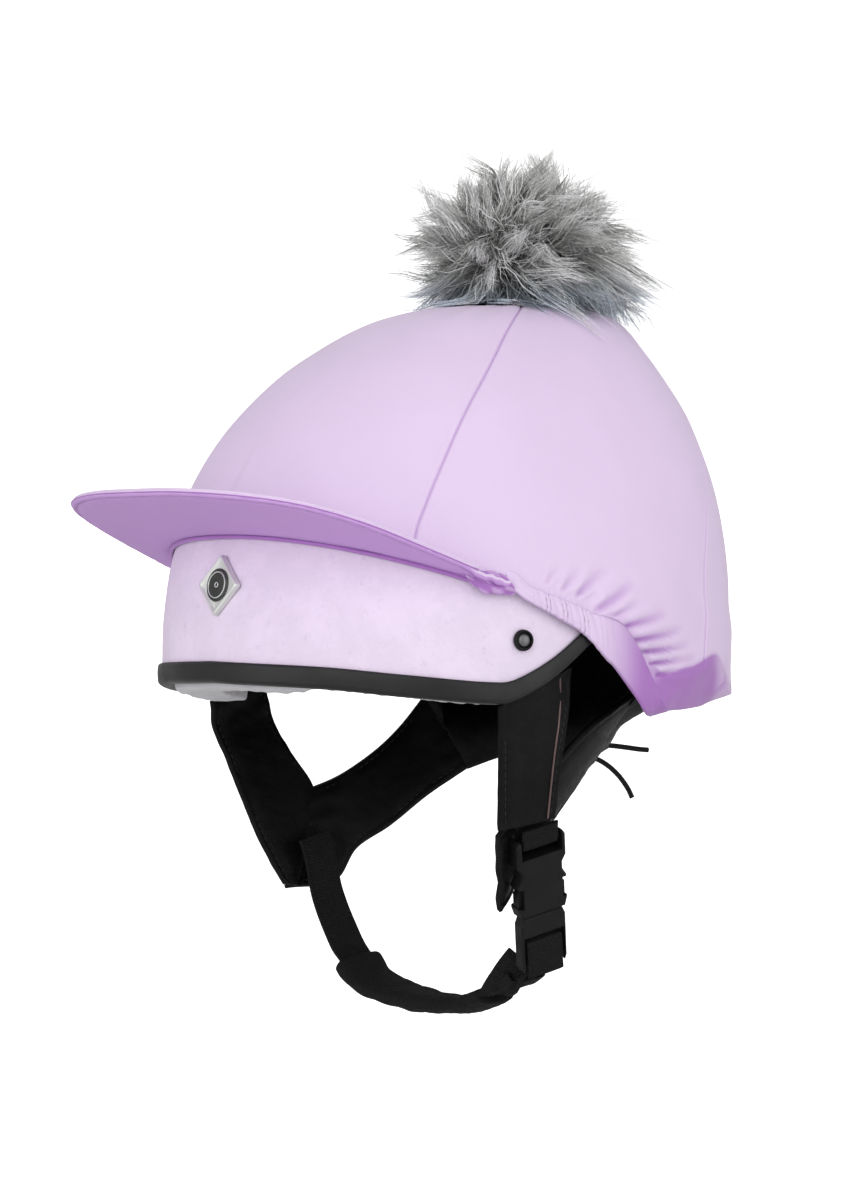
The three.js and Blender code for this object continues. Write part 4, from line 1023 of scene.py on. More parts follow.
@dataclass
class Cover:
    """Stretch cover: crown, elastic hem and peak, with their seams."""

    skull: Skull
    # start angle, start height, end angle, end height, half width, depth of each fold
    folds: Rows = (
        (77.8, 57, 80.8, 66, 1.6, 0.5),
        (81.2, 54, 85, 64, 1.8, 0.8),
        (84.2, 52, 90, 64, 2, 1.3),
        (88, 45.5, 94.6, 58, 2.3, 1.35),
        (90.4, 43, 96, 50, 1.5, 0.8),
        (92.4, 38.5, 103, 44, 2.2, 1.3),
        (94.2, 32.5, 108, 36.5, 2.0, 1.6),
        (96, 27.5, 111, 30, 1.9, 1.7),
        (98.3, 22.5, 113, 25, 1.8, 1.6),
        (100, 17.5, 110, 20.5, 1.5, 1.1),
        (130, 9, 131.5, 26, 3, 0.7),
        (142, 6, 141, 22, 3, 0.5),
        (152, 6, 153, 24, 3, 0.7),
        (164, 6, 163, 22, 3, 0.5),
        (172, 6, 173, 24, 3, 0.7),
    )
    # height, angle of the front seam, angle of the rear seam
    seams: Rows = (
        (0, 49, 115),
        (62, 49, 118),
        (79, 49.4, 121),
        (90, 50.8, 124),
        (105, 53, 129),
        (130, 57, 136),
        (151, 62, 138),
        (166, 64.3, 138),
        (175, 65.3, 138),
        (184, 66, 138),
    )
    rows: int = 108
    front_seam: float = 50
    rear_seam: float = 128
    stitch_pitch: float = 2.8
    stitch_length: float = 2.1
    stitch_radius: float = 0.2

    def upper(self, angle: Array) -> Array:
        """Height of the line where the crown meets the hem."""
        side = self.skull.folded(angle)
        return self.skull.edge(Edge.SEAM, angle) - 3.2 * ease((side - 70) / 5) * (1 - ease((side - 86) / 7))

    def edges(self, angle: Array) -> tuple[Array, Array, Array, Array]:
        """Foot, corner, tuck and share of the side's shape at angles."""
        s = self.skull
        side = s.folded(angle)
        root = s.junction(side) + s.peak_wall / 2 + 0.1
        w = ease((side - 66) / 5.5)
        foot, corner = mix(root, self.upper(angle), w), mix(root + 5, s.edge(Edge.CORNER, angle), w)
        return foot, corner, s.tucked(Edge.SEAM_TUCK, angle) * w, w

    def columns(self) -> Array:
        """Column angles before the seams are followed, denser at seams and gathers."""
        half = [np.arange(0, 48, 1.5), np.arange(48, 52, 0.2), np.arange(52, 68, 1), np.arange(68, 110, 0.3)]
        half += [np.arange(110, 126, 1), np.arange(126, 130, 0.2), np.arange(130, 180, 1.5)]
        side = np.concatenate(half)
        return np.concatenate([side, [180], 360 - side[:0:-1]])

    def follow(self, drawn: Array, heights: Array) -> Array:
        """Angles of columns that follow the panel seams, at heights."""
        table = np.array(self.seams, float)
        fold = self.skull.folded(drawn)
        front, rear = self.front_seam, self.rear_seam
        near = np.where(fold < front, ease(fold / front), ease((90 - fold) / (90 - front)))
        far = np.where(fold < rear, ease((fold - 104) / (rear - 104)), ease((180 - fold) / (180 - rear)))
        turn = (smooth(table[:, 0], table[:, 1], heights) - front) * near
        turn = turn + (smooth(table[:, 0], table[:, 2], heights) - rear) * far
        return drawn + np.where(drawn > 180, -1, 1) * turn

    def surface(self) -> tuple[Array, Array]:
        """Grid of the cover's outside, and its painted shade."""
        s = self.skull
        drawn = self.columns()
        foot, corner, tuck, w = self.edges(self.follow(drawn, self.edges(drawn)[0]))
        low = np.linspace(0, 1, 15)[None, :-1]
        turned_in = ease((s.folded(self.follow(drawn, foot)) - 97) / 6)[:, None]
        lap = np.array([-2.6, -1.2])[None, :] * w[:, None]
        rise = np.linspace(0, 1, self.rows)[None, :] ** 1.3
        tail = s.place(foot[:, None] + lap * (1 - turned_in))
        steep = s.place(mix(foot[:, None], corner[:, None], low))
        ats = np.concatenate([tail, steep, mix(s.place(corner)[:, None], s.ats[-1], rise)], axis=1)
        heights = s.section(ats)[0]
        angle = self.follow(drawn[:, None], heights)
        folded = tuck[:, None] * (1 - low) ** 1.15
        tails = tuck[:, None] + 0.9 - lap * turned_in
        depth = np.concatenate([tails, folded, np.zeros((len(drawn), self.rows))], axis=1)
        depth = depth - s.bulge(angle, heights) * w[:, None]
        plain = s.under(angle, ats, 0)
        side = s.folded(angle)
        valleys = 1.4 * folds_of(self.folds, side, heights) * ease((side - 70) / 6)
        pucker = np.exp(-(((heights - foot[:, None]) / 4.5) ** 2))
        pucker = pucker * ease((side - 70) / 5) * ease((108 - side) / 8)
        ripple = ease((93 - side) / 5) * np.sin(2 * math.pi * side / 1.15)
        depth = depth + valleys + 0.3 * pucker * ripple
        above = np.where(side > 90, ease((heights - corner[:, None] + 1) / 3), 1)
        dent, line = self.seam_dent(drawn, plain) * above
        depth = depth + dent - 1.7 * self.fullness(side, heights)
        depth = depth - 0.22 * waves(plain, 60) - 0.05 * waves(plain, 17, 3)
        radial = np.clip((heights / s.height - 0.93) / 0.05, 0, 1)
        depth = depth + 0.35 * radial * np.sin(np.radians(angle) * 17) * np.clip((s.ats[-1] - ats) / 2, 0, 1)
        # painted shade in fold valleys, at the puckered foot, on the turned-under facet and in the seam
        # grooves
        fold_shade = (0.3 + 0.28 * ease((side - 88) / 6)) * np.clip(valleys, 0, 1.8)
        shade = fold_shade + 0.3 * pucker * ease((side - 84) / 12)
        shade = shade + self.turned_under(side, heights, foot[:, None], corner[:, None]) + line
        return s.under(angle, ats, depth), shade

    def fullness(self, side: Array, heights: Array) -> Array:
        """Share of the rear's soft bulge."""
        return np.exp(-(((side - 140) / 38) ** 2)) * ease((heights - 12) / 46) * ease((190 - heights) / 30)

    def turned_under(self, side: Array, heights: Array, foot: Array, corner: Array) -> Array:
        """Painted shade on the facet that turns under at the rear, fainter towards the back."""
        border = corner + 1 + 4.5 * ease((side - 99) / 10)
        under = ease((border - heights) / 2.2) * ease((side - 96) / 6)
        share = np.clip(corner - foot, 1, None)
        limit = 119 + 15 * np.clip((corner - heights) / share, 0, 1)
        return under * (1 - 0.62 * ease((side - limit) / 7))

    def seam_dent(self, drawn: Array, plain: Array) -> Array:
        """Groove and raised allowances of the four panel seams, and the painted shade line in each groove."""
        turn = np.maximum(np.abs(np.gradient(drawn))[:, None], 1e-6)
        arc = np.linalg.norm(np.gradient(plain, axis=0), axis=2) / turn
        dent, line = np.zeros(plain.shape[:2]), np.zeros(plain.shape[:2])
        for seam in (self.front_seam, self.rear_seam):
            away = np.abs(self.skull.folded(drawn) - seam)[:, None] * arc
            dent += 0.75 * np.exp(-((away / 0.5) ** 2)) - 0.2 * np.exp(-(((away - 1.9) / 0.9) ** 2))
            line += 0.42 * np.exp(-((away / 0.6) ** 2))
        return np.stack([dent, line])

    def crown(self) -> bpy.types.Object:
        """The crown cover as one stretched sheet."""
        grid, shade = self.surface()
        obj = write_painted_shade(grid_object("crown_cloth", grid, close_n=True), shade)
        dress(obj, SILK, ["crown_cover"])
        return obj

    def hem(self) -> bpy.types.Object:
        """Elastic casing along the cover's lower edge."""
        s = self.skull
        angle = [np.arange(69.2, 112, 0.2), np.arange(112, 248, 1), np.arange(248, 290.9, 0.2)]
        angle = np.concatenate(angle)[:, None]
        share = np.linspace(0, 1, 17)[None, :]
        side = s.folded(angle)
        top, foot = self.upper(angle) + 1.2, s.edge(Edge.HEM, angle)
        seat = s.tucked(Edge.SEAM_TUCK, angle) - s.bulge(angle, top) * ease((side - 66) / 5.5)
        height = mix(foot, top, share)
        gather = ease((side - 71) / 6) * np.clip((92 - side) / 5, 0.06, 1)
        ribs = 0.24 * gather * np.cos(2 * math.pi * (side + 0.9 * share + 0.3 * np.sin(side * 1.7)) / 1.13)
        depth = mix(s.tucked(Edge.HEM_TUCK, angle) - 1.0, seat - 0.35, share)
        depth = depth - 0.9 * 4 * share * (1 - share) - ribs * (side < 125)
        depth = depth + 1.8 * (1 - ease((side - 69.2) / 2.2))
        mid = s.under(angle, s.place(height), depth)
        uneven = 0.14 * waves(mid, 9, 2) * np.clip((side - 90) / 10, 0.3, 1)
        mid = mid + grid_normals(mid) * uneven[..., None]
        # painted shade: over the hem's rear and between the ribs
        groove = 0.5 * np.clip(-ribs, 0, 1) * (side < 125)
        shade = (ease((side - 87) / 10) + groove + 0 * height)[:, ::-1]

        def thick(edge: Array) -> tuple[Array, Array]:
            """Soft edge with a line of stitching."""
            half = rounded(edge, 1.0, 1.2) - 0.25 * np.exp(-(((edge - 1.9) / 0.5) ** 2))
            return half, half

        def painted_shade(edge: Array) -> Array:
            """Painted shade over the rear, between the ribs and along the edges."""
            return shade + 0.4 * np.exp(-((edge / 0.7) ** 2))

        obj = face_out(slab("hem_casing", mid[:, ::-1], thick, painted_shade=painted_shade))
        return dress(obj, SILK, ["hem_band"])

    def peak_form(self, angles: Array, shares: Array) -> Array:
        """Peak's middle surface, with its front corners lifted a little."""
        mid = self.skull.peak_grid(angles, shares)
        lift = np.exp(-(((np.abs(angles) - 32) / 15) ** 2))[:, None] * shares[None, :] ** 2
        mid[..., 2] += 1.7 * lift
        mid[..., 1] -= 1.5 * lift
        return mid

    def peak(self) -> bpy.types.Object:
        """Soft peak with a welted edge, gathered at its ends, with a darker copy of its silk on the downward
        faces as painted shade.
        """
        angles = [np.arange(-69.4, -50, 0.25), np.arange(-50, 50, 0.8), np.arange(50, 69.5, 0.25)]
        angles = np.concatenate(angles)
        shares = 1 - np.linspace(0, 1, 44) ** 1.6
        mid = self.peak_form(angles, shares)
        ends = np.clip((np.abs(angles) - 57) / 9, 0, 1)[:, None]
        crumple = ends * (1.1 * waves(mid, 9, 1) + 0.7 * waves(mid, 3.6, 4))
        welt = 0.1 * waves(mid, 6, 5) * np.clip(shares * 3 - 2, 0, 1)[None, :]

        def thick(edge: Array) -> tuple[Array, Array]:
            """Welt, topstitch groove and padded middle."""
            half = rounded(edge, 1.35, 1.3) - 0.6 * np.exp(-(((edge - 2.6) / 0.5) ** 2))
            half += 0.3 * np.clip((edge - 3.2) / 3, 0, 1)
            return half, half

        def painted_shade(edge: Array) -> Array:
            """Painted shade in the welt's groove and in the creases of the crumpled ends."""
            creases = ends * (0.6 + 0.6 * waves(mid, 3.6, 4)) * ease((edge - 0.6) / 1.5)
            return 0.55 * np.exp(-(((edge - 2.4) / 0.55) ** 2)) + creases

        obj = face_out(slab("peak_cloth", mid, thick, crumple + welt, painted_shade))
        dress(obj, SILK, ["peak"])
        # painted shade: the downward faces take the darker copy of the silk
        obj.data.materials.append(UNDERSIDE_SHADE.material())
        normals = np.zeros(len(obj.data.polygons) * 3)
        obj.data.polygons.foreach_get("normal", normals)
        under = (normals.reshape(-1, 3)[:, 2] < -0.1).astype(np.int32)
        obj.data.polygons.foreach_set("material_index", under)
        return obj

    def tuck(self, side: Side) -> bpy.types.Object:
        """Cloth bunched where the peak ends and the hem begins, toned dark as painted shade, less on its
        ridges.
        """
        s = self.skull
        angle = np.linspace(60.5, 71.5, 90)
        share = np.linspace(0, 1, 90)[:, None]
        at = s.place(s.junction(angle) - 0.5)
        line = s.under(angle, at, -0.8)
        out = unit(s.under(angle, at, -6) - line)
        rise = unit(np.cross(np.gradient(line, axis=0), out))
        turn = circle(48)[None, :]
        size = 0.02 + np.sin(math.pi * share) ** 0.7
        ridge = np.sin(3 * turn + 9 * share) + 0.8 * np.sin(5 * turn - 14 * share)
        girth = size * (1 + 0.17 * ridge)
        lean = np.cos(turn)[..., None] * out[:, None] * 2.6 + np.sin(turn)[..., None] * rise[:, None] * 4.4
        points = line[:, None] + girth[..., None] * lean
        # painted shade over the bunch, less on its ridges
        painted_shade = np.clip(1.1 - 0.5 * ridge, 0.65, 1) * ease(size * 2)
        points[..., 0] *= side.value
        obj = face_out(grid_object(f"peak_tuck_{side.name.lower()}", points, close_m=True))
        return dress(write_painted_shade(obj, painted_shade), SILK)

    def topstitch(self) -> list[bpy.types.Object]:
        """Welt cord, its seam, the roll at the peak's root, and stitches above and below the edge; the seam
        and the roll are toned dark all through as painted shade.
        """
        angles = np.linspace(-62, 62, 400)
        mid = self.peak_form(angles, np.linspace(1, 0.9, 5))
        reach = np.linalg.norm(mid[:, 0] - mid[:, 4], axis=1)
        step = unit(mid[:, 4] - mid[:, 0])
        line = mid[:, 0] + step * 2.9
        normal = unit(np.cross(np.gradient(line, axis=0), step))
        normal *= np.sign(normal[:, 2:3])
        sizes = (self.stitch_pitch, self.stitch_length, self.stitch_radius)
        parts = [stitched(f"stitch_{k}", line + normal * k * 1.02, normal, *sizes) for k in (1, -1)]
        LOG.info("peak reach %.1f mm", reach.max())
        root = self.peak_form(angles, np.array([0.0, 0.06]))
        away = unit(root[:, 1] - root[:, 0])
        made = [dress(tube("peak_welt", mid[:, 0] + step * 0.9 + normal * 1.15, 0.85, 10), SILK)]
        # painted shade: the welt's seam darkens its groove, the roll is a painted shadow where the peak meets
        # the band
        for name, path, radius, sides in (
            ("peak_welt_shaded_seam", mid[:, 0] - step * 0.08 - normal * 0.15, 0.34, 8),
            ("peak_root_shadow_roll", root[:, 0] + away * 0.9 - normal * 1.9, 1.0, 10),
        ):
            roll = tube(name, path, radius, sides)
            made.append(dress(write_painted_shade(roll, np.ones(len(roll.data.vertices))), SILK))
        return made + [dress(joined("peak_topstitch", parts), THREAD)]


@dataclass
class Helmet:
    """Hard skull: shell with its cloth, rubber edge, liner and padded front."""

    skull: Skull

    def angles(self, step: float) -> Array:
        """Angles all round."""
        return np.arange(0, 360, step)

    def shell(self) -> bpy.types.Object:
        """The shell's cloth-covered outside."""
        s = self.skull
        angle = self.angles(1.5)
        foot = s.place(s.edge(Edge.RIM, angle) + s.trim_wall + s.gap)
        rise = np.linspace(0, 1, 60) ** 1.15
        at = mix(foot[:, None], s.ats[-1], rise[None, :])
        plain = s.under(angle[:, None], at, s.shell_depth)
        lump = 0.12 * waves(plain, 26, 2) + 0.05 * waves(plain, 7, 1)
        grid = s.under(angle[:, None], at, s.shell_depth - lump * (at < 4))
        return dress(grid_object("shell_cloth", grid, close_n=True), SUEDE, ["shell"])

    def rim_grid(self, angle: Array, profile: Rows) -> Array:
        """Grid along the rim of a profile in depth and height over the rim."""
        s = self.skull
        profile = np.array(profile, float)
        height = s.edge(Edge.RIM, angle)[:, None] + profile[None, :, 1]
        return s.under(angle[:, None], s.place(height), profile[None, :, 0])

    def trim(self) -> bpy.types.Object:
        """Rubber channel over the rim."""
        s = self.skull
        outside = s.shell_depth - s.gap - s.trim_wall
        inside = s.liner_depth + s.trim_wall
        middle, half = (outside + inside) / 2, (inside - outside) / 2
        turn = np.linspace(0, math.pi, 17)
        bow = [middle - half * power(np.cos(turn), 0.8), 2.9 - 2.9 * (np.sin(turn) + 1e-9) ** 0.8]
        lip = [(1.4, 8.6), (1.2, 9.2), (0.75, 9.5), (0.3, 9.3), (0.05, 8.9)]
        wall = [(-0.12, 8.2), (-0.22, 7), (-0.24, 5.8), (-0.16, 4.4), (-0.05, 3.4)]
        back = [(0, 3.6), (-0.2, 4.1), (-0.7, 4.3), (-1.2, 4.1)]
        rows = [np.array(lip + wall) + (outside, 0), np.stack(bow, axis=1), np.array(back) + (inside, 0)]
        grid = self.rim_grid(self.angles(0.9), np.concatenate(rows))
        return dress(face_out(grid_object("edge_rubber_band", grid, close_n=True)), RUBBER, ["edge_trim"])

    def liner(self) -> bpy.types.Object:
        """Foam liner: its foot and its ribbed inside."""
        s = self.skull
        angle = self.angles(1.5)
        rim = s.edge(Edge.RIM, angle)
        inner = s.liner_depth + s.liner_wall
        outer = s.liner_depth
        foot = np.stack([s.place(rim + s.trim_leg + s.gap + k) for k in (1.5, 0.2, 0, 0.2, 1.5)], axis=1)
        depth_foot = np.array([outer, outer + 1, (outer + inner) / 2, inner - 1, inner])[None, :]
        rise = np.linspace(0.02, 1, 60)[None, :]
        at = mix(foot[:, -1:], s.ats[-1], rise)
        groove = 1.6 * np.exp(-((((angle[:, None] % 30) - 15) / 1.6) ** 2))
        groove = groove * np.clip((s.ats[-1] - at) / 3, 0, 1)
        at_all = np.concatenate([foot, at], axis=1)
        depth = np.concatenate([np.broadcast_to(depth_foot, foot.shape), inner - groove], axis=1)
        grid = s.under(angle[:, None], at_all, depth)
        obj = dress(face_out(grid_object("foam_liner", grid, close_n=True)), FOAM, ["liner"])
        return obj

    def head_pad(self) -> bpy.types.Object:
        """Satin roll along the forehead, below the trim."""
        s = self.skull
        angle = np.linspace(-60, 68, 300)
        start = s.liner_depth + s.trim_wall + 2 * s.gap
        end = s.head_depth + 6
        middle = (start + s.head_depth) / 2
        rows = [(start, 4), (start, 0.4), (start + 1.4, -1.9), (middle, -2.7), (s.head_depth + 3, -2.2)]
        rows += [(end, 0.3), (end, 12), (end, 25), (s.head_depth + 3, 30), (s.head_depth + 0.2, 29)]
        grid = self.rim_grid(angle, catmull(rows, 46))
        over = grid[..., 2] - s.edge(Edge.RIM, angle)[:, None]
        grid[..., 2] += 2.6 * ease((angle - 14) / 12)[:, None] * ease((8 - over) / 4)
        uneven = 0.4 * waves(grid * (1, 1, 0.4), 9, 3) + 0.15 * waves(grid, 4, 6)
        grid = grid + grid_normals(grid) * uneven[..., None]
        obj = dress(face_out(capped("satin_roll", grid)), SATIN, ["head_pad"])
        return obj


@dataclass
class Fittings:
    """Badge and rivets on the shell."""

    skull: Skull

    def seat(self, angle: float, height: float, lift: float) -> tuple[Array, Array]:
        """Centre and directions (across, up, out) of a place on the shell."""
        s = self.skull
        at = float(s.place(height))
        out = s.normal(angle, at)
        side = unit(np.cross([0, 0, 1.0], out))
        return s.under(angle, at, s.shell_depth - lift), np.stack([side, np.cross(out, side), out])

    def badge(self) -> list[bpy.types.Object]:
        """Diamond plate with a raised rim and a round enamel with rings."""
        centre, basis = self.seat(1.2, 56.5, 0.1)
        rows = [(13.4, 0), (13.5, 1.2), (13.0, 2.2), (12.3, 2.5)]
        rows += [(11.6, 2.4), (11.1, 1.95), (10.6, 1.85), (7.4, 1.85)]
        loops = []
        for radius, height in rows:
            corners = []
            for k in range(4):
                a, b = math.pi / 2 * k, math.pi / 2 * (k + 1)
                ends = np.array([[math.cos(a), math.sin(a)], [math.cos(b), math.sin(b)]]) * radius
                corners.append(mix(ends[0], ends[1], np.linspace(0.03, 0.97, 8)[:, None]))
            flat = np.concatenate(corners)
            if radius < 8:
                flat = unit(flat) * 7.3
            loops.append(centre + flat[:, :1] * basis[0] + flat[:, 1:] * basis[1] + height * basis[2])
        plate = face_out(grid_object("badge_diamond", np.stack(loops), close_m=True))
        dress(plate, SILVER, ["badge_plate"])
        disc = lathe("badge_disc", [(7.3, 1.6), (7.1, 2.3), (6.2, 2.45), (3, 2.6), (0, 2.65)], centre, basis)
        dress(disc, ENAMEL, ["badge_enamel"])
        rings = []
        for k, r in enumerate((1.0, 5.6)):
            rows = [(r - 0.28, 2.3), (r - 0.2, 2.75), (r, 2.9), (r + 0.2, 2.75), (r + 0.28, 2.3)]
            rings.append(lathe(f"ring_{k}", rows, centre, basis))
        return [plate, disc, dress(joined("badge_rings", rings), SILVER)]

    def rivet(self, side: Side) -> list[bpy.types.Object]:
        """Black eyelet with a metal dome."""
        centre, basis = self.seat(side.value * 73.4, 33, 0.45)
        name = side.name.lower()
        rows = [(3.2, 0), (3.25, 1.2), (3.6, 1.9), (4.1, 1.8), (4.5, 1.1), (4.6, 0)]
        ring = lathe(f"eyelet_{name}", rows, centre, basis)
        rows = [(3.1, 0.2), (2.9, 1.2), (2.1, 2.0), (1.1, 2.35), (0, 2.45)]
        dome = lathe(f"dome_{name}", rows, centre, basis)
        return [dress(ring, PLASTIC, [f"rivet_ring_{name}"]), dress(dome, GUNMETAL, [f"rivet_cap_{name}"])]


@dataclass(frozen=True)
class Coat:
    """One layer of the pompom's hair: its layout, length in ball radii, curl in millimetres and tone."""

    seed: int
    clumps: int
    strands: int
    reach: float
    curl: float
    tone: float
    stray: float


@dataclass
class Pompom:
    """Fur ball: a core, dark as painted shade, and locks of hair laid out from it."""

    skull: Skull
    centre: Array = field(default_factory=lambda: np.array([0, 47.0, 206.0]))
    radii: Array = field(default_factory=lambda: np.array([45.5, 45.5, 38.5]))
    steps: int = 7
    root: float = 0.48
    # tone rises outwards: the inner coat's low tone is painted shade deep in the fur
    coats: Sequence[Coat] = (
        Coat(11, 1100, 4800, 0.84, 1.2, 0.34, 0.0),
        Coat(12, 800, 10000, 0.96, 3.4, 0.85, 0.03),
        Coat(13, 380, 12800, 1.05, 5.4, 1.5, 0.0),
        Coat(14, 700, 1200, 1.13, 3.0, 1.4, 0.7),
    )

    GOLDEN = math.radians(137.508)
    REAR = np.array([0.643, 0.766, 0])

    def crown_height(self, p: Array) -> Array:
        """Height of the crown's skin under points, or far below beside it."""
        s = self.skull
        low, high = np.zeros(p.shape[:-1]), np.full(p.shape[:-1], s.ats[-1])
        for _ in range(18):
            at = (low + high) / 2
            _, lean, girth = s.section(at)
            girth = np.maximum(girth, 1e-4)
            x = np.abs(p[..., 0]) / (s.width / 2 * girth)
            y = np.abs(p[..., 1] - lean) / (s.length / 2 * girth)
            inside = x**s.roundness + y**s.roundness < 1
            low, high = np.where(inside, at, low), np.where(inside, high, at)
        return s.section(low)[0]

    def flow(self, out: Array) -> Array:
        """Lie of the hair at directions from the centre: away from a whorl on the front, and drooping."""
        away = out - np.array([0.2, -0.95, -0.22])
        away = unit(away - out * np.sum(away * out, axis=1, keepdims=True))
        swirl = np.stack([waves(out, 0.7, 1), waves(out, 0.7, 2), waves(out, 0.7, 3)], axis=1)
        rear = np.clip(out @ self.REAR, 0, 1)[:, None] ** 2
        lie = 0.42 * away + 0.72 * swirl + np.array([0, 0, -0.3]) * (1 - out[:, 2:]) * (0.8 + 1.6 * rear)
        return lie - out * np.sum(lie * out, axis=1, keepdims=True)

    def locks(self, coat: Coat) -> bpy.types.Object:
        """One coat's hairs, in wavy locks that narrow to their tips."""
        rng = np.random.default_rng(coat.seed)
        clumps, count = coat.clumps, coat.strands
        k = np.arange(clumps)
        level = 0.99 - 1.68 * (k + rng.uniform(0, 1, clumps)) / clumps
        turn = k * self.GOLDEN + rng.normal(0, 0.15, clumps)
        flat = np.sqrt(np.clip(1 - level**2, 0, 1))
        out = np.stack([flat * np.cos(turn), flat * np.sin(turn), level], axis=1)
        lie = self.flow(out) + rng.normal(0, 0.12, (clumps, 3))
        size = coat.reach * (1 + 0.15 * rng.normal(0, 1, clumps).clip(-1.6, 1.8))
        tone = coat.tone * rng.uniform(0.35, 1.5, clumps) * (1 + 0.28 * waves(out, 0.7, 7))
        phase, pace = rng.uniform(0, 6.3, clumps), rng.uniform(4.5, 9, clumps)
        own = rng.integers(0, clumps, count)
        t = np.linspace(0, 1, self.steps)[None, :, None]
        loose = coat.stray * rng.normal(0, 0.3, (count, 3))
        direction = unit(out[own] + rng.normal(0, 0.04, (count, 3)) + loose)
        root = self.centre + out[own] * self.radii * self.root
        length = (size[own] * rng.uniform(0.74, 1.05, count) - self.root)[:, None, None]
        path = root[:, None] + self.radii * length * (t * direction[:, None] + t**2 * lie[own][:, None] * 0.9)
        side = unit(np.cross(direction, lie[own] + 1e-3))[:, None]
        start = phase[own][:, None, None]
        wave = np.sin(t * pace[own][:, None, None] + start) - np.sin(start)
        path = path + side * wave * t * coat.curl
        breadth = 2.3 * (1 - 0.68 * t) if coat.clumps < 1000 else 2.6 * (0.6 + 0.5 * t)
        path = path + rng.normal(0, 1, (count, 1, 3)) * breadth
        path = path + rng.normal(0, 0.12, (count, self.steps, 3)) * t
        path = self.settle(path, 0.9 + 2.2 * rng.random((count, 1)))
        return self.blades(f"fur_locks_{coat.seed}", path, tone[own] * rng.uniform(0.75, 1.25, count), rng)

    def settle(self, path: Array, lift: Array) -> Array:
        """Hairs spread out low down, leant to the rear and laid on the crown with a lift."""
        drop = self.centre[2] - path[..., 2:]
        path = path + (path - self.centre) * (1, 1, 0) * 0.13 * np.clip(drop / 25, 0, 1)
        path = path + self.REAR * 0.03 * drop
        path[..., 2] = np.maximum(path[..., 2], self.crown_height(path) + lift)
        return path

    def blades(self, name: str, path: Array, tone: Array, rng: np.random.Generator) -> bpy.types.Object:
        """Tapered blades along paths, each with its tone from root to tip, dark at the root as painted shade.
        """
        count, steps, _ = path.shape
        along = np.gradient(path, axis=1)
        across = unit(np.cross(along, unit(rng.normal(0, 1, (count, 1, 3)))))
        t = np.linspace(0, 1, steps)[None, :, None]
        half = rng.uniform(0.17, 0.34, (count, 1, 1)) * (1 - t**2.2 * 0.85)
        points = np.stack([path - across * half, path + across * half], axis=2)
        base = grid_faces(steps, 2)
        faces = (np.arange(count)[:, None, None] * steps * 2 + base[None]).reshape(-1, 4)
        obj = make_mesh(name, points.reshape(-1, 3), faces, np.zeros((count * steps * 2, 2)))
        # painted shade: dark at the roots deep in the fur, light at the tips
        grey = (0.05 + 1.2 * t[..., 0] ** 1.6) * tone[:, None]
        # painted shade: darker and cooler low down
        low = np.clip((self.centre[2] - 8 - path[..., 2]) / 14, 0, 1)
        low_shade = np.stack([1 - 0.52 * low, 1 - 0.46 * low, 1 - 0.36 * low], axis=-1)
        warm = np.array([0.98, 1.0, 0.96])
        color = np.clip(grey[..., None] * low_shade * warm, 0.01, 0.88)
        rgba = np.concatenate([color, np.ones(color.shape[:2] + (1,))], axis=-1)
        write_tint(obj, np.repeat(rgba[:, :, None], 2, axis=2))
        return obj

    def core(self) -> bpy.types.Object:
        """Ball that the hair grows from, near black as painted shade deep in the fur."""
        angles = np.radians(np.arange(0, 360, 5))
        turn, level = np.meshgrid(angles, np.linspace(-1.2, 1.57, 30), indexing="ij")
        ball = np.stack([np.cos(level) * np.cos(turn), np.cos(level) * np.sin(turn), np.sin(level)], axis=-1)
        grid = self.centre + ball * self.radii * (0.52 + 0.05 * waves(ball, 0.8)[..., None])
        grid[..., 2] = np.maximum(grid[..., 2], self.crown_height(grid) + 0.6)
        obj = grid_object("fur_shade_core", grid, close_n=True)
        # near-black painted shade deep inside the fur
        write_tint(obj, np.tile([0.05, 0.05, 0.055, 1], grid[..., 0].size))
        return dress(obj, HAIR, ["pompom"])

    def build(self) -> list[bpy.types.Object]:
        """The core and its coats of hair."""
        return [self.core()] + [dress(self.locks(coat), HAIR) for coat in self.coats]


# Harness and chin strap


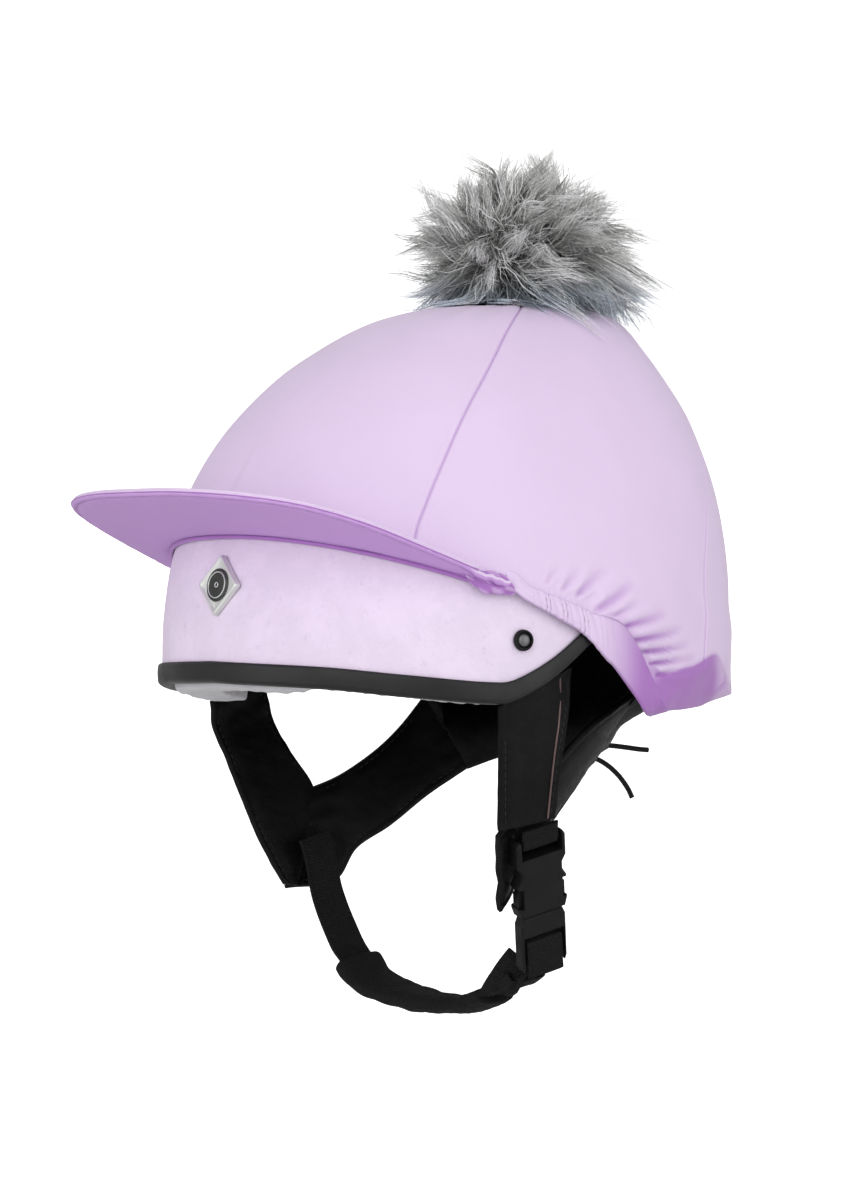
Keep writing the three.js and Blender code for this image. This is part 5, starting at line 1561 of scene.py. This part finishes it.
@dataclass
class Harness:
    """Leather straps and nape piece, with their rolled edges and stitch lines."""

    skull: Skull
    wall: float = 1.5
    seam: float = 3.3
    stitch_pitch: float = 3.4
    stitch_length: float = 2.5
    stitch_radius: float = 0.24
    # front edge then rear edge of each cross-line
    front_left: Rows = (
        (94.5, -50.5, 5, 98, -12, 22),
        (94.5, -50, -10, 97.5, -12, 5),
        (92, -48, -25, 95, -14, -18),
        (88.5, -45, -48, 91.5, -15, -43),
    )
    front_right: Rows = (
        (-92.4, -62, 3.5, -95.8, -27, 12),
        (-93, -60, -8, -95.5, -22.5, -6),
        (-90, -55, -22, -91.5, -16, -20),
        (-86.5, -50, -38, -86, -6, -38),
        (-81.5, -42, -60, -81, -11, -60),
        (-77, -31.5, -80, -77, -21, -82),
    )
    rear_left: Rows = (
        (67, -25, -85, 79, -37.5, -50),
        (66, -14.5, -72, 79.5, -26, -38),
        (65.5, -4.5, -58, 81, -10, -24),
        (64, 11.5, -42, 82, 10, -7),
        (59, 28, -29, 79, 30, 3),
        (51, 45, -20, 74.2, 46, 9),
    )
    rear_right: Rows = (
        (-79, -29, -82.5, -87, -12, -38),
        (-76, -2, -80, -84.5, 3, -33),
        (-73, 9, -65, -82.5, 15, -27),
        (-67, 24, -55, -80.5, 29, -18),
        (-60, 41, -41, -78, 41, -7),
        (-50, 60, -27, -74.5, 53, 8),
    )
    # angle where it leaves the liner, waist, lower edge
    nape: Rows = (
        (118, 74, 46.5, 9, 50.8, 45.4, -20),
        (130, 66, 64, 6, 41, 60, -17.5),
        (148, 46, 81, 7, 26, 71, -18.5),
        (165, 20, 90, 8, 10, 77, -20),
        (180, 0, 92, 8, 0, 78, -20.5),
        (195, -20, 90.5, 8, -10, 77.5, -20),
        (212, -46, 82, 7, -25, 73.5, -20),
        (230, -66, 67, 6, -39, 67, -23.5),
        (242, -74.2, 50.4, 6, -50.7, 57.4, -29),
    )

    def thick(self, edge: Array) -> tuple[Array, Array]:
        """Rolled edge, stitch groove and padded middle."""
        half = rounded(edge, 1.45, 1.3) - 0.42 * np.exp(-(((edge - self.seam) / 0.55) ** 2))
        half = half + 0.75 * np.clip((edge - 3.8) / 4.5, 0, 1) ** 0.7
        return half, rounded(edge, 1.4, 1.3)

    def leather(self, name: str, mid: Array, nodes: Sequence[str], creases: float) -> list[bpy.types.Object]:
        """A strap over a middle surface, with creases and stitches."""
        length = np.linspace(0, 1, len(mid))[:, None]
        ends = np.maximum(np.exp(-length * 5), 0.55 * np.exp(-(1 - length) * 7))
        crinkle = creases * ends * waves(mid * (1, 0.45, 1), 11, 2)
        crinkle = crinkle + 0.16 * waves(mid, 24, 1) + 0.07 * waves(mid, 6, 4)
        strap = face_out(slab(name, mid, self.thick, crinkle))
        dress(strap, LEATHER, nodes)
        normal = grid_normals(mid)
        width = np.linalg.norm(mid[:, 0] - mid[:, -1], axis=1)[:, None]
        sizes = (self.stitch_pitch, self.stitch_length, self.stitch_radius)
        lines = []
        for edge, other in ((0, -1), (-1, 0)):
            line = mid[:, edge] + (mid[:, other] - mid[:, edge]) * self.seam / width
            for out in (normal[:, edge], -normal[:, edge]):
                lines.append(stitched(f"{name}_run", line + out * 1.12, out, *sizes))
        return [strap, dress(joined(f"{name}_stitches", lines), BLACK_THREAD)]

    def middle(self, rows: Rows) -> Array:
        """Middle surface of a strap between its cross-lines."""
        table = np.array(rows, float)
        return ruled(table[:, :3], table[:, 3:], 90, 34)

    def strap(self, rows: Rows, side: Side, place: str) -> list[bpy.types.Object]:
        """One strap between its cross-lines."""
        name = f"{place}_strap_{side.name.lower()}"
        return self.leather(f"leather_{name}", self.middle(rows), [name], 0.9)

    def nape_piece(self) -> list[bpy.types.Object]:
        """Curved piece round the nape, from the left rear strap to the right one."""
        s = self.skull
        table = np.array(self.nape, float)
        depth = s.head_depth + self.wall + s.nest
        low, waist = table[:, 4:7], table[:, 1:4]
        seat, top = (s.under(table[:, 0], s.place(height), depth) for height in (29.0, 44.0))
        slack = mix(low, waist, 0.5) - unit(waist * (1, 1, 0)) * 5
        rows = np.stack([low, slack, waist, seat, top], axis=1)
        mid = catmull(catmull(rows, 150).transpose(1, 0, 2), 40).transpose(1, 0, 2)
        return self.leather("leather_nape", mid, ["nape_piece"], 0.25)

    def piping(self) -> bpy.types.Object:
        """Fine brown piping near the rear edge of the buckle side's front strap."""
        mid = self.middle(self.front_left)
        normal = grid_normals(mid)
        line = mid[2:-1, 27] + normal[2:-1, 27] * 2.05
        return dress(tube("front_strap_piping", line, 0.42, 8), BROWN)

    def build(self) -> list[bpy.types.Object]:
        """All leather pieces."""
        made = [self.piping()]
        for rows, side, place in (
            (self.front_left, Side.LEFT, "front"),
            (self.rear_left, Side.LEFT, "rear"),
            (self.front_right, Side.RIGHT, "front"),
            (self.rear_right, Side.RIGHT, "rear"),
        ):
            made += self.strap(rows, side, place)
        return made + self.nape_piece()


def frames(line: Array, wide: Array) -> tuple[Array, Array]:
    """Directions across and out of a line of points, the first one near the given ones."""
    along = unit(np.gradient(line, axis=0))
    across = unit(wide - along * np.sum(wide * along, axis=1, keepdims=True))
    return across, np.cross(along, across)


def tube(
    name: str, line: Array, radius: float, sides: int, wide: Sequence[float] = (0.13, 0.21, 1.0)
) -> bpy.types.Object:
    """Round tube along a line, with its first side towards a direction."""
    across, out = frames(line, np.array([wide]) * np.ones((len(line), 1)))
    turns = circle(sides)[None, :, None]
    ring = np.cos(turns) * across[:, None] + np.sin(turns) * out[:, None]
    return face_out(capped(name, line[:, None] + ring * radius))


@dataclass
class ChinStrap:
    """Webbing, padded sleeve, keeper and spare end below the chin."""

    foot: Array = field(default_factory=lambda: np.array([65.5, 0.5, -108.5]))
    head: Array = field(default_factory=lambda: np.array([84.0, -19, -50.5]))
    width: float = 18.5
    wrap: float = 2.9

    def __post_init__(self) -> None:
        """Works out the buckle's directions."""
        self.length = float(np.linalg.norm(self.head - self.foot))
        self.rise = unit(self.head - self.foot)
        wide = np.array([0.1, 1, 0])
        self.wide = unit(wide - self.rise * (wide @ self.rise))
        self.out = np.cross(self.wide, self.rise)

    def on_buckle(self, rows: Rows) -> Array:
        """Points in the buckle's middle plane, given along it and out from it."""
        rows = np.array(rows, float)
        return self.foot + rows[:, :1] * self.rise + rows[:, 1:] * self.out

    def band(
        self,
        name: str,
        line: Array,
        wide: Array,
        nodes: Sequence[str],
        share: float = 1.0,
        crinkle: float = 0.08,
        count: int = 210,
    ) -> bpy.types.Object:
        """Woven band.

        Args:
            name: The object's name.
            line: Points along its middle.
            wide: Direction of its width at each point.
            nodes: The nodes that it stands for.
            share: Its share of the strap's full width.
            crinkle: Depth of its unevenness in millimetres.
            count: Rows of vertices along it.

        Returns:
            The band.
        """
        line, wide = catmull(line, count), unit(catmull(wide, count))
        half = np.linspace(-0.5, 0.5, 25)[None, :, None] * (self.width * share)
        mid = line[:, None] + wide[:, None] * half
        ribs = 0.09 * np.sin(2 * math.pi * travel(line)[:, None] / 1.5)

        def thick(edge: Array) -> tuple[Array, Array]:
            """Woven edge, with a rib each 1.5 mm."""
            body = rounded(edge, 0.78, 0.8) + ribs * np.clip((edge - 1.2) / 0.6, 0, 1)
            body = body - 0.12 * np.exp(-(((edge - 1.5) / 0.3) ** 2))
            return body, body

        uneven = crinkle * waves(mid, 14, 3) + 0.4 * crinkle * waves(mid, 5, 1)
        return dress(face_out(slab(name, mid, thick, uneven)), TAPE, nodes)

    def webs(self) -> list[bpy.types.Object]:
        """The bands on both sides and the spare end."""
        bar = self.length - 3.4
        wrap, end = self.wrap, self.length + 1
        upper = [(end + 4.2, 3.4), (end, wrap), (bar + 0.6, wrap), (bar - 1.1, 1.75)]
        upper += [(bar - 1.1, -1.75), (bar + 0.6, -wrap), (end, -wrap), (end + 4.2, -2.6)]
        lower = [(1, -wrap), (11.7, -wrap), (13.5, -1.75), (13.5, 1.75), (11.7, wrap), (2, wrap), (-3, 3.2)]
        upper, lower = self.on_buckle(upper), self.on_buckle(lower)
        start = np.array([[30, 1.8, -125.5], [34.8, 2.1, -123.7], [46, 2.3, -118.5], [55.5, 2.2, -113]])
        start_wide = np.array([[-0.05, 1, 0.05], [-0.05, 1, 0.05], [0, 1, 0.1], self.wide])
        right = np.array(
            [
                [-72.5, -17, -58, 0, 1, 0.28],
                [-71, -15, -66, 0, 1, 0.28],
                [-69, -11.5, -86, 0, 1, 0.25],
                [-62, -7, -106, 0.05, 1, 0.2],
                [-56.5, -5.1, -114, 0.05, 1, 0.15],
                [-50, -4.4, -120.5, 0.05, 1, 0.12],
            ]
        )
        tail = np.array(
            [
                [57, -4, -106, 0.75, 0.25, -0.5],
                [53.5, -6, -111, 0.72, 0.3, -0.5],
                [49.5, -6.5, -116.5, 0.6, 0.5, -0.5],
                [43, -5, -121, 0.3, 0.8, -0.3],
                [35, -3, -123.6, 0, 1, 0],
            ]
        )
        upper_wide, lower_wide = (np.repeat(self.wide[None], len(rows), axis=0) for rows in (upper, lower))
        lower, lower_wide = np.concatenate([start, lower]), np.concatenate([start_wide, lower_wide])
        return [
            self.band("webbing_right", right[:, :3], right[:, 3:], ["chin_web_right"]),
            self.band("webbing_upper", upper, upper_wide, ["upper_web_left"]),
            self.band("webbing_lower", lower, lower_wide, ["chin_web_left"], count=290),
            self.band("webbing_tail", tail[:, :3], tail[:, 3:], ["web_tail"], 0.8, 0.9, 120),
        ]

    def sleeve(self) -> bpy.types.Object:
        """Padded sleeve of woven cloth, folded over in its middle."""
        rows = [[-56, -5, -114.6], [-46, -4, -123.5], [-26, -3, -128.5]]
        rows += [[-3, -2, -130.5], [18, 0, -129.5], [34, 2, -124]]
        wide = [[0.05, 1, 0.15], [0.05, 1, 0.1], [0.02, 1, 0.05], [0, 1, 0], [-0.02, 1, 0], [-0.05, 1, 0.05]]
        line = catmull(rows, 200)
        across, out = frames(line, catmull(wide, 200))
        t = np.linspace(0, 1, 200)[:, None]
        c, s = np.cos(circle(68))[None, :], np.sin(circle(68))[None, :]
        end = np.clip(np.minimum(t, 1 - t) / 0.035, 0, 1)
        end = 0.8 + 0.2 * np.sqrt(1 - (1 - end) ** 2)
        flat, high = power(c, 0.7) * 12.5 * end, power(s, 0.8) * 4.25 * end
        ridge, groove = (np.exp(-((((t - middle) * 9) + c * 1.1) ** 2)) for middle in (0.55, 0.6))
        high = high + (0.7 * ridge - 0.6 * groove) * np.sign(s)
        points = line[:, None] + across[:, None] * flat[..., None] + out[:, None] * high[..., None]
        uneven = 0.32 * waves(points * (1, 0.5, 1), 16, 2) + 0.14 * waves(points, 6, 5)
        points = points - grid_normals(points) * uneven[..., None]
        obj = face_out(capped("chin_sleeve_cloth", points))
        dress(obj, TAPE, ["chin_sleeve"])
        return obj

    def keeper(self) -> bpy.types.Object:
        """Elastic loop that holds the spare end."""
        centre = np.array([50.2, 2.3, -116.0])
        along = unit(np.array([9.5, 0, 5.5]))
        wide = np.array([0, 1, 0.1])
        wide = unit(wide - along * (wide @ along))
        out = np.cross(along, wide)
        turns, sides = circle(120)[:, None], circle(16)[None, :, None]
        ring = power(np.cos(turns), 0.35) * 10.4 * wide + power(np.sin(turns), 0.5) * 2.6 * out
        radial = unit(ring)[:, None]
        loops = centre + ring[:, None] + radial * (0.8 * np.sin(sides))
        loops = loops + along * (4 * power(np.cos(sides), 0.4))
        loops = loops + 0.25 * waves(loops, 7, 2)[..., None] * radial
        obj = face_out(grid_object("keeper_loop", loops, close_n=True, close_m=True))
        return dress(obj, TAPE, ["web_keeper"])

    def buckle(self, nodes: dict[str, bpy.types.Object]) -> None:
        """Rounds the moulded buckle's edges and gives it its plastic."""
        for name in ("buckle_socket", "buckle_tongue"):
            obj = nodes[name]
            obj.data.materials.clear()
            obj.data.materials.append(PLASTIC.material())
            weld = obj.modifiers.new("join", "WELD")
            weld.merge_threshold = 1e-5
            bevel = obj.modifiers.new("edges", "BEVEL")
            bevel.width, bevel.segments = 0.5 * MM, 3
            bevel.limit_method, bevel.angle_limit = "ANGLE", math.radians(24)
            bevel.harden_normals = True


@dataclass
class Laces:
    """Two lace ends and the knot that they leave."""

    diameter: float = 2.4
    upper: Rows = (
        (2, 84.5, -18.4),
        (4, 90, -17.2),
        (6.5, 96, -17.4),
        (9, 103, -18.3),
        (11, 109, -19.2),
        (12.4, 113.5, -19.6),
    )
    lower: Rows = (
        (2, 84.5, -22),
        (4.5, 89.5, -23.8),
        (7, 94, -27),
        (9.5, 98, -31.5),
        (12, 101, -37),
        (13.5, 102.5, -41.5),
    )

    def lace(self, name: str, rows: Rows) -> bpy.types.Object:
        """One free lace end as a round curve."""
        line = (catmull(np.array(rows, float), 30) + Skull.OFFSET) * MM
        curve = bpy.data.curves.new(name, "CURVE")
        curve.dimensions = "3D"
        curve.bevel_depth = self.diameter / 2 * MM
        curve.bevel_resolution = 4
        curve.use_fill_caps = True
        spline = curve.splines.new("POLY")
        spline.points.add(len(line) - 1)
        spline.points.foreach_set("co", np.concatenate([line, np.ones((len(line), 1))], axis=1).ravel())
        spline.use_smooth = True
        obj = bpy.data.objects.new(f"{name}_cord", curve)
        bpy.context.collection.objects.link(obj)
        curve.materials.append(LACE.material())
        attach(obj, "root")
        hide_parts(name)
        return obj

    def knot(self) -> bpy.types.Object:
        """Overhand knot pulled tight against the nape."""
        t = np.linspace(0, 2 * math.pi, 120)
        loops = [np.sin(t) + 2 * np.sin(2 * t), -np.sin(3 * t) * 0.9, np.cos(t) - 2 * np.cos(2 * t)]
        line = np.array([0.6, 82.6, -20.6]) + np.stack(loops, axis=1) * (1.15, 1.2, 0.95)
        return dress(tube("nape_knot", line, 1.15, 10, (0.1, 1, 0.2)), LACE, ["lace_knot"])


# Studio


@dataclass
class Studio:
    """Camera, soft lights and a pale round backdrop."""

    aim: Array = field(default_factory=lambda: (np.array([-3.75, -4.47, 50.0]) + Skull.OFFSET) * MM)
    azimuth: float = 50.0
    distance: float = 1.8
    lens: float = 120.4
    paper: float = 0.78
    floor: float = -560
    floor_radius: float = 2400
    floor_bend: float = 1200
    world_light: float = 0.5
    light_size: float = 1.8
    light_distance: float = 1.9
    # name, azimuth, elevation and watts of each light
    lights: Sequence[tuple[str, float, float, float]] = (
        ("key", 40, 20, 14),
        ("left", -12, 2, 13),
        ("right", 108, 12, 14),
        ("top", 40, 80, 4),
    )

    def stand(
        self, data: bpy.types.ID, azimuth: float, elevation: float, distance: float
    ) -> bpy.types.Object:
        """Puts a camera or light at a distance from the cap, turned to it."""
        obj = bpy.data.objects.new(data.name, data)
        bpy.context.collection.objects.link(obj)
        a, e = math.radians(azimuth), math.radians(elevation)
        back = Vector((math.sin(a) * math.cos(e), -math.cos(a) * math.cos(e), math.sin(e)))
        obj.location = Vector(self.aim) + back * distance
        obj.rotation_mode = "QUATERNION"
        obj.rotation_quaternion = (-back).to_track_quat("-Z", "Y")
        return obj

    def camera(self) -> None:
        """Level camera in front, to the wearer's left."""
        data = bpy.data.cameras.new("camera")
        data.lens, data.sensor_width = self.lens, 36.0
        data.clip_start, data.clip_end = 0.05, 30
        bpy.context.scene.camera = self.stand(data, self.azimuth, 0, self.distance)

    def backdrop(self) -> bpy.types.Object:
        """Round floor that curves up all round, pale to the camera."""
        rise = np.linspace(0, math.pi / 2, 16)
        flat, bend = self.floor_radius, self.floor_bend
        radius = np.concatenate([[1, flat / 2, flat], flat + bend * np.sin(rise[1:]), [flat + bend]])
        height = np.concatenate([[0, 0, 0], bend * (1 - np.cos(rise[1:])), [3400]])
        height = height + self.floor - Skull.OFFSET[2]
        turns = circle(96)[:, None]
        grid = [np.cos(turns) * radius, np.sin(turns) * radius, np.ones_like(turns) * height]
        obj = grid_object("backdrop", np.stack(grid, axis=-1), close_n=True)
        material = bpy.data.materials.new("backdrop_paper")
        material.use_nodes = True
        nodes = Nodes(material.node_tree)
        surface = material.node_tree.nodes["Principled BSDF"]
        seen = nodes.add("ShaderNodeLightPath").outputs["Is Camera Ray"]
        nodes.feed(surface, {"Base Color": (self.paper,) * 3 + (1,), "Roughness": 0.95})
        nodes.feed(surface, {"Specular IOR Level": 0.0, "Emission Color": (1, 1, 1, 1)})
        nodes.feed(surface, {"Emission Strength": seen})
        obj.data.materials.append(material)
        obj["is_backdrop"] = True
        return obj

    def light(self, name: str, azimuth: float, elevation: float, watts: float) -> None:
        """Soft square light aimed at the cap."""
        data = bpy.data.lights.new(name, "AREA")
        data.size, data.energy = self.light_size, watts
        self.stand(data, azimuth, elevation, self.light_distance)

    def build(self) -> None:
        """Backdrop, lights and the world's even light."""
        self.backdrop()
        for light in self.lights:
            self.light(*light)
        world = bpy.data.worlds.new("studio")
        world.use_nodes = True
        background = world.node_tree.nodes["Background"]
        Nodes(world.node_tree).feed(background, {"Color": (1, 1, 1, 1), "Strength": self.world_light})
        scene = bpy.context.scene
        scene.world = world
        scene.view_settings.view_transform = "Standard"


def write_size(name: str, bounds: tuple[Vector, Vector], sizes: dict) -> None:
    """Keeps the bounds under a name, as plain lists."""
    sizes[name] = [list(bounds[0]), list(bounds[1])]


def main() -> None:
    """Builds the cap's looks in order."""
    logging.basicConfig(level=logging.INFO, format="%(name)s: %(message)s")
    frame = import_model()
    sizes: dict = {}
    write_size("cad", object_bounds(), sizes)
    studio = Studio()
    studio.camera()
    laces = Laces()
    laces.lace("lace_upper", laces.upper)
    laces.lace("lace_lower", laces.lower)
    skull = Skull()
    cover, helmet, fittings, chin = Cover(skull), Helmet(skull), Fittings(skull), ChinStrap()
    for build in (cover.crown, cover.hem, cover.peak, cover.topstitch):
        build()
    for side in Side:
        cover.tuck(side)
    for build in (helmet.shell, helmet.trim, helmet.liner, helmet.head_pad, fittings.badge):
        build()
    for side in Side:
        fittings.rivet(side)
    Pompom(skull).build()
    Harness(skull).build()
    for build in (chin.webs, chin.sleeve, chin.keeper, laces.knot):
        build()
    chin.buckle(frame["nodes"])
    studio.build()
    write_size("dressed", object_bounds(), sizes)


if __name__ == "__main__":
    main()
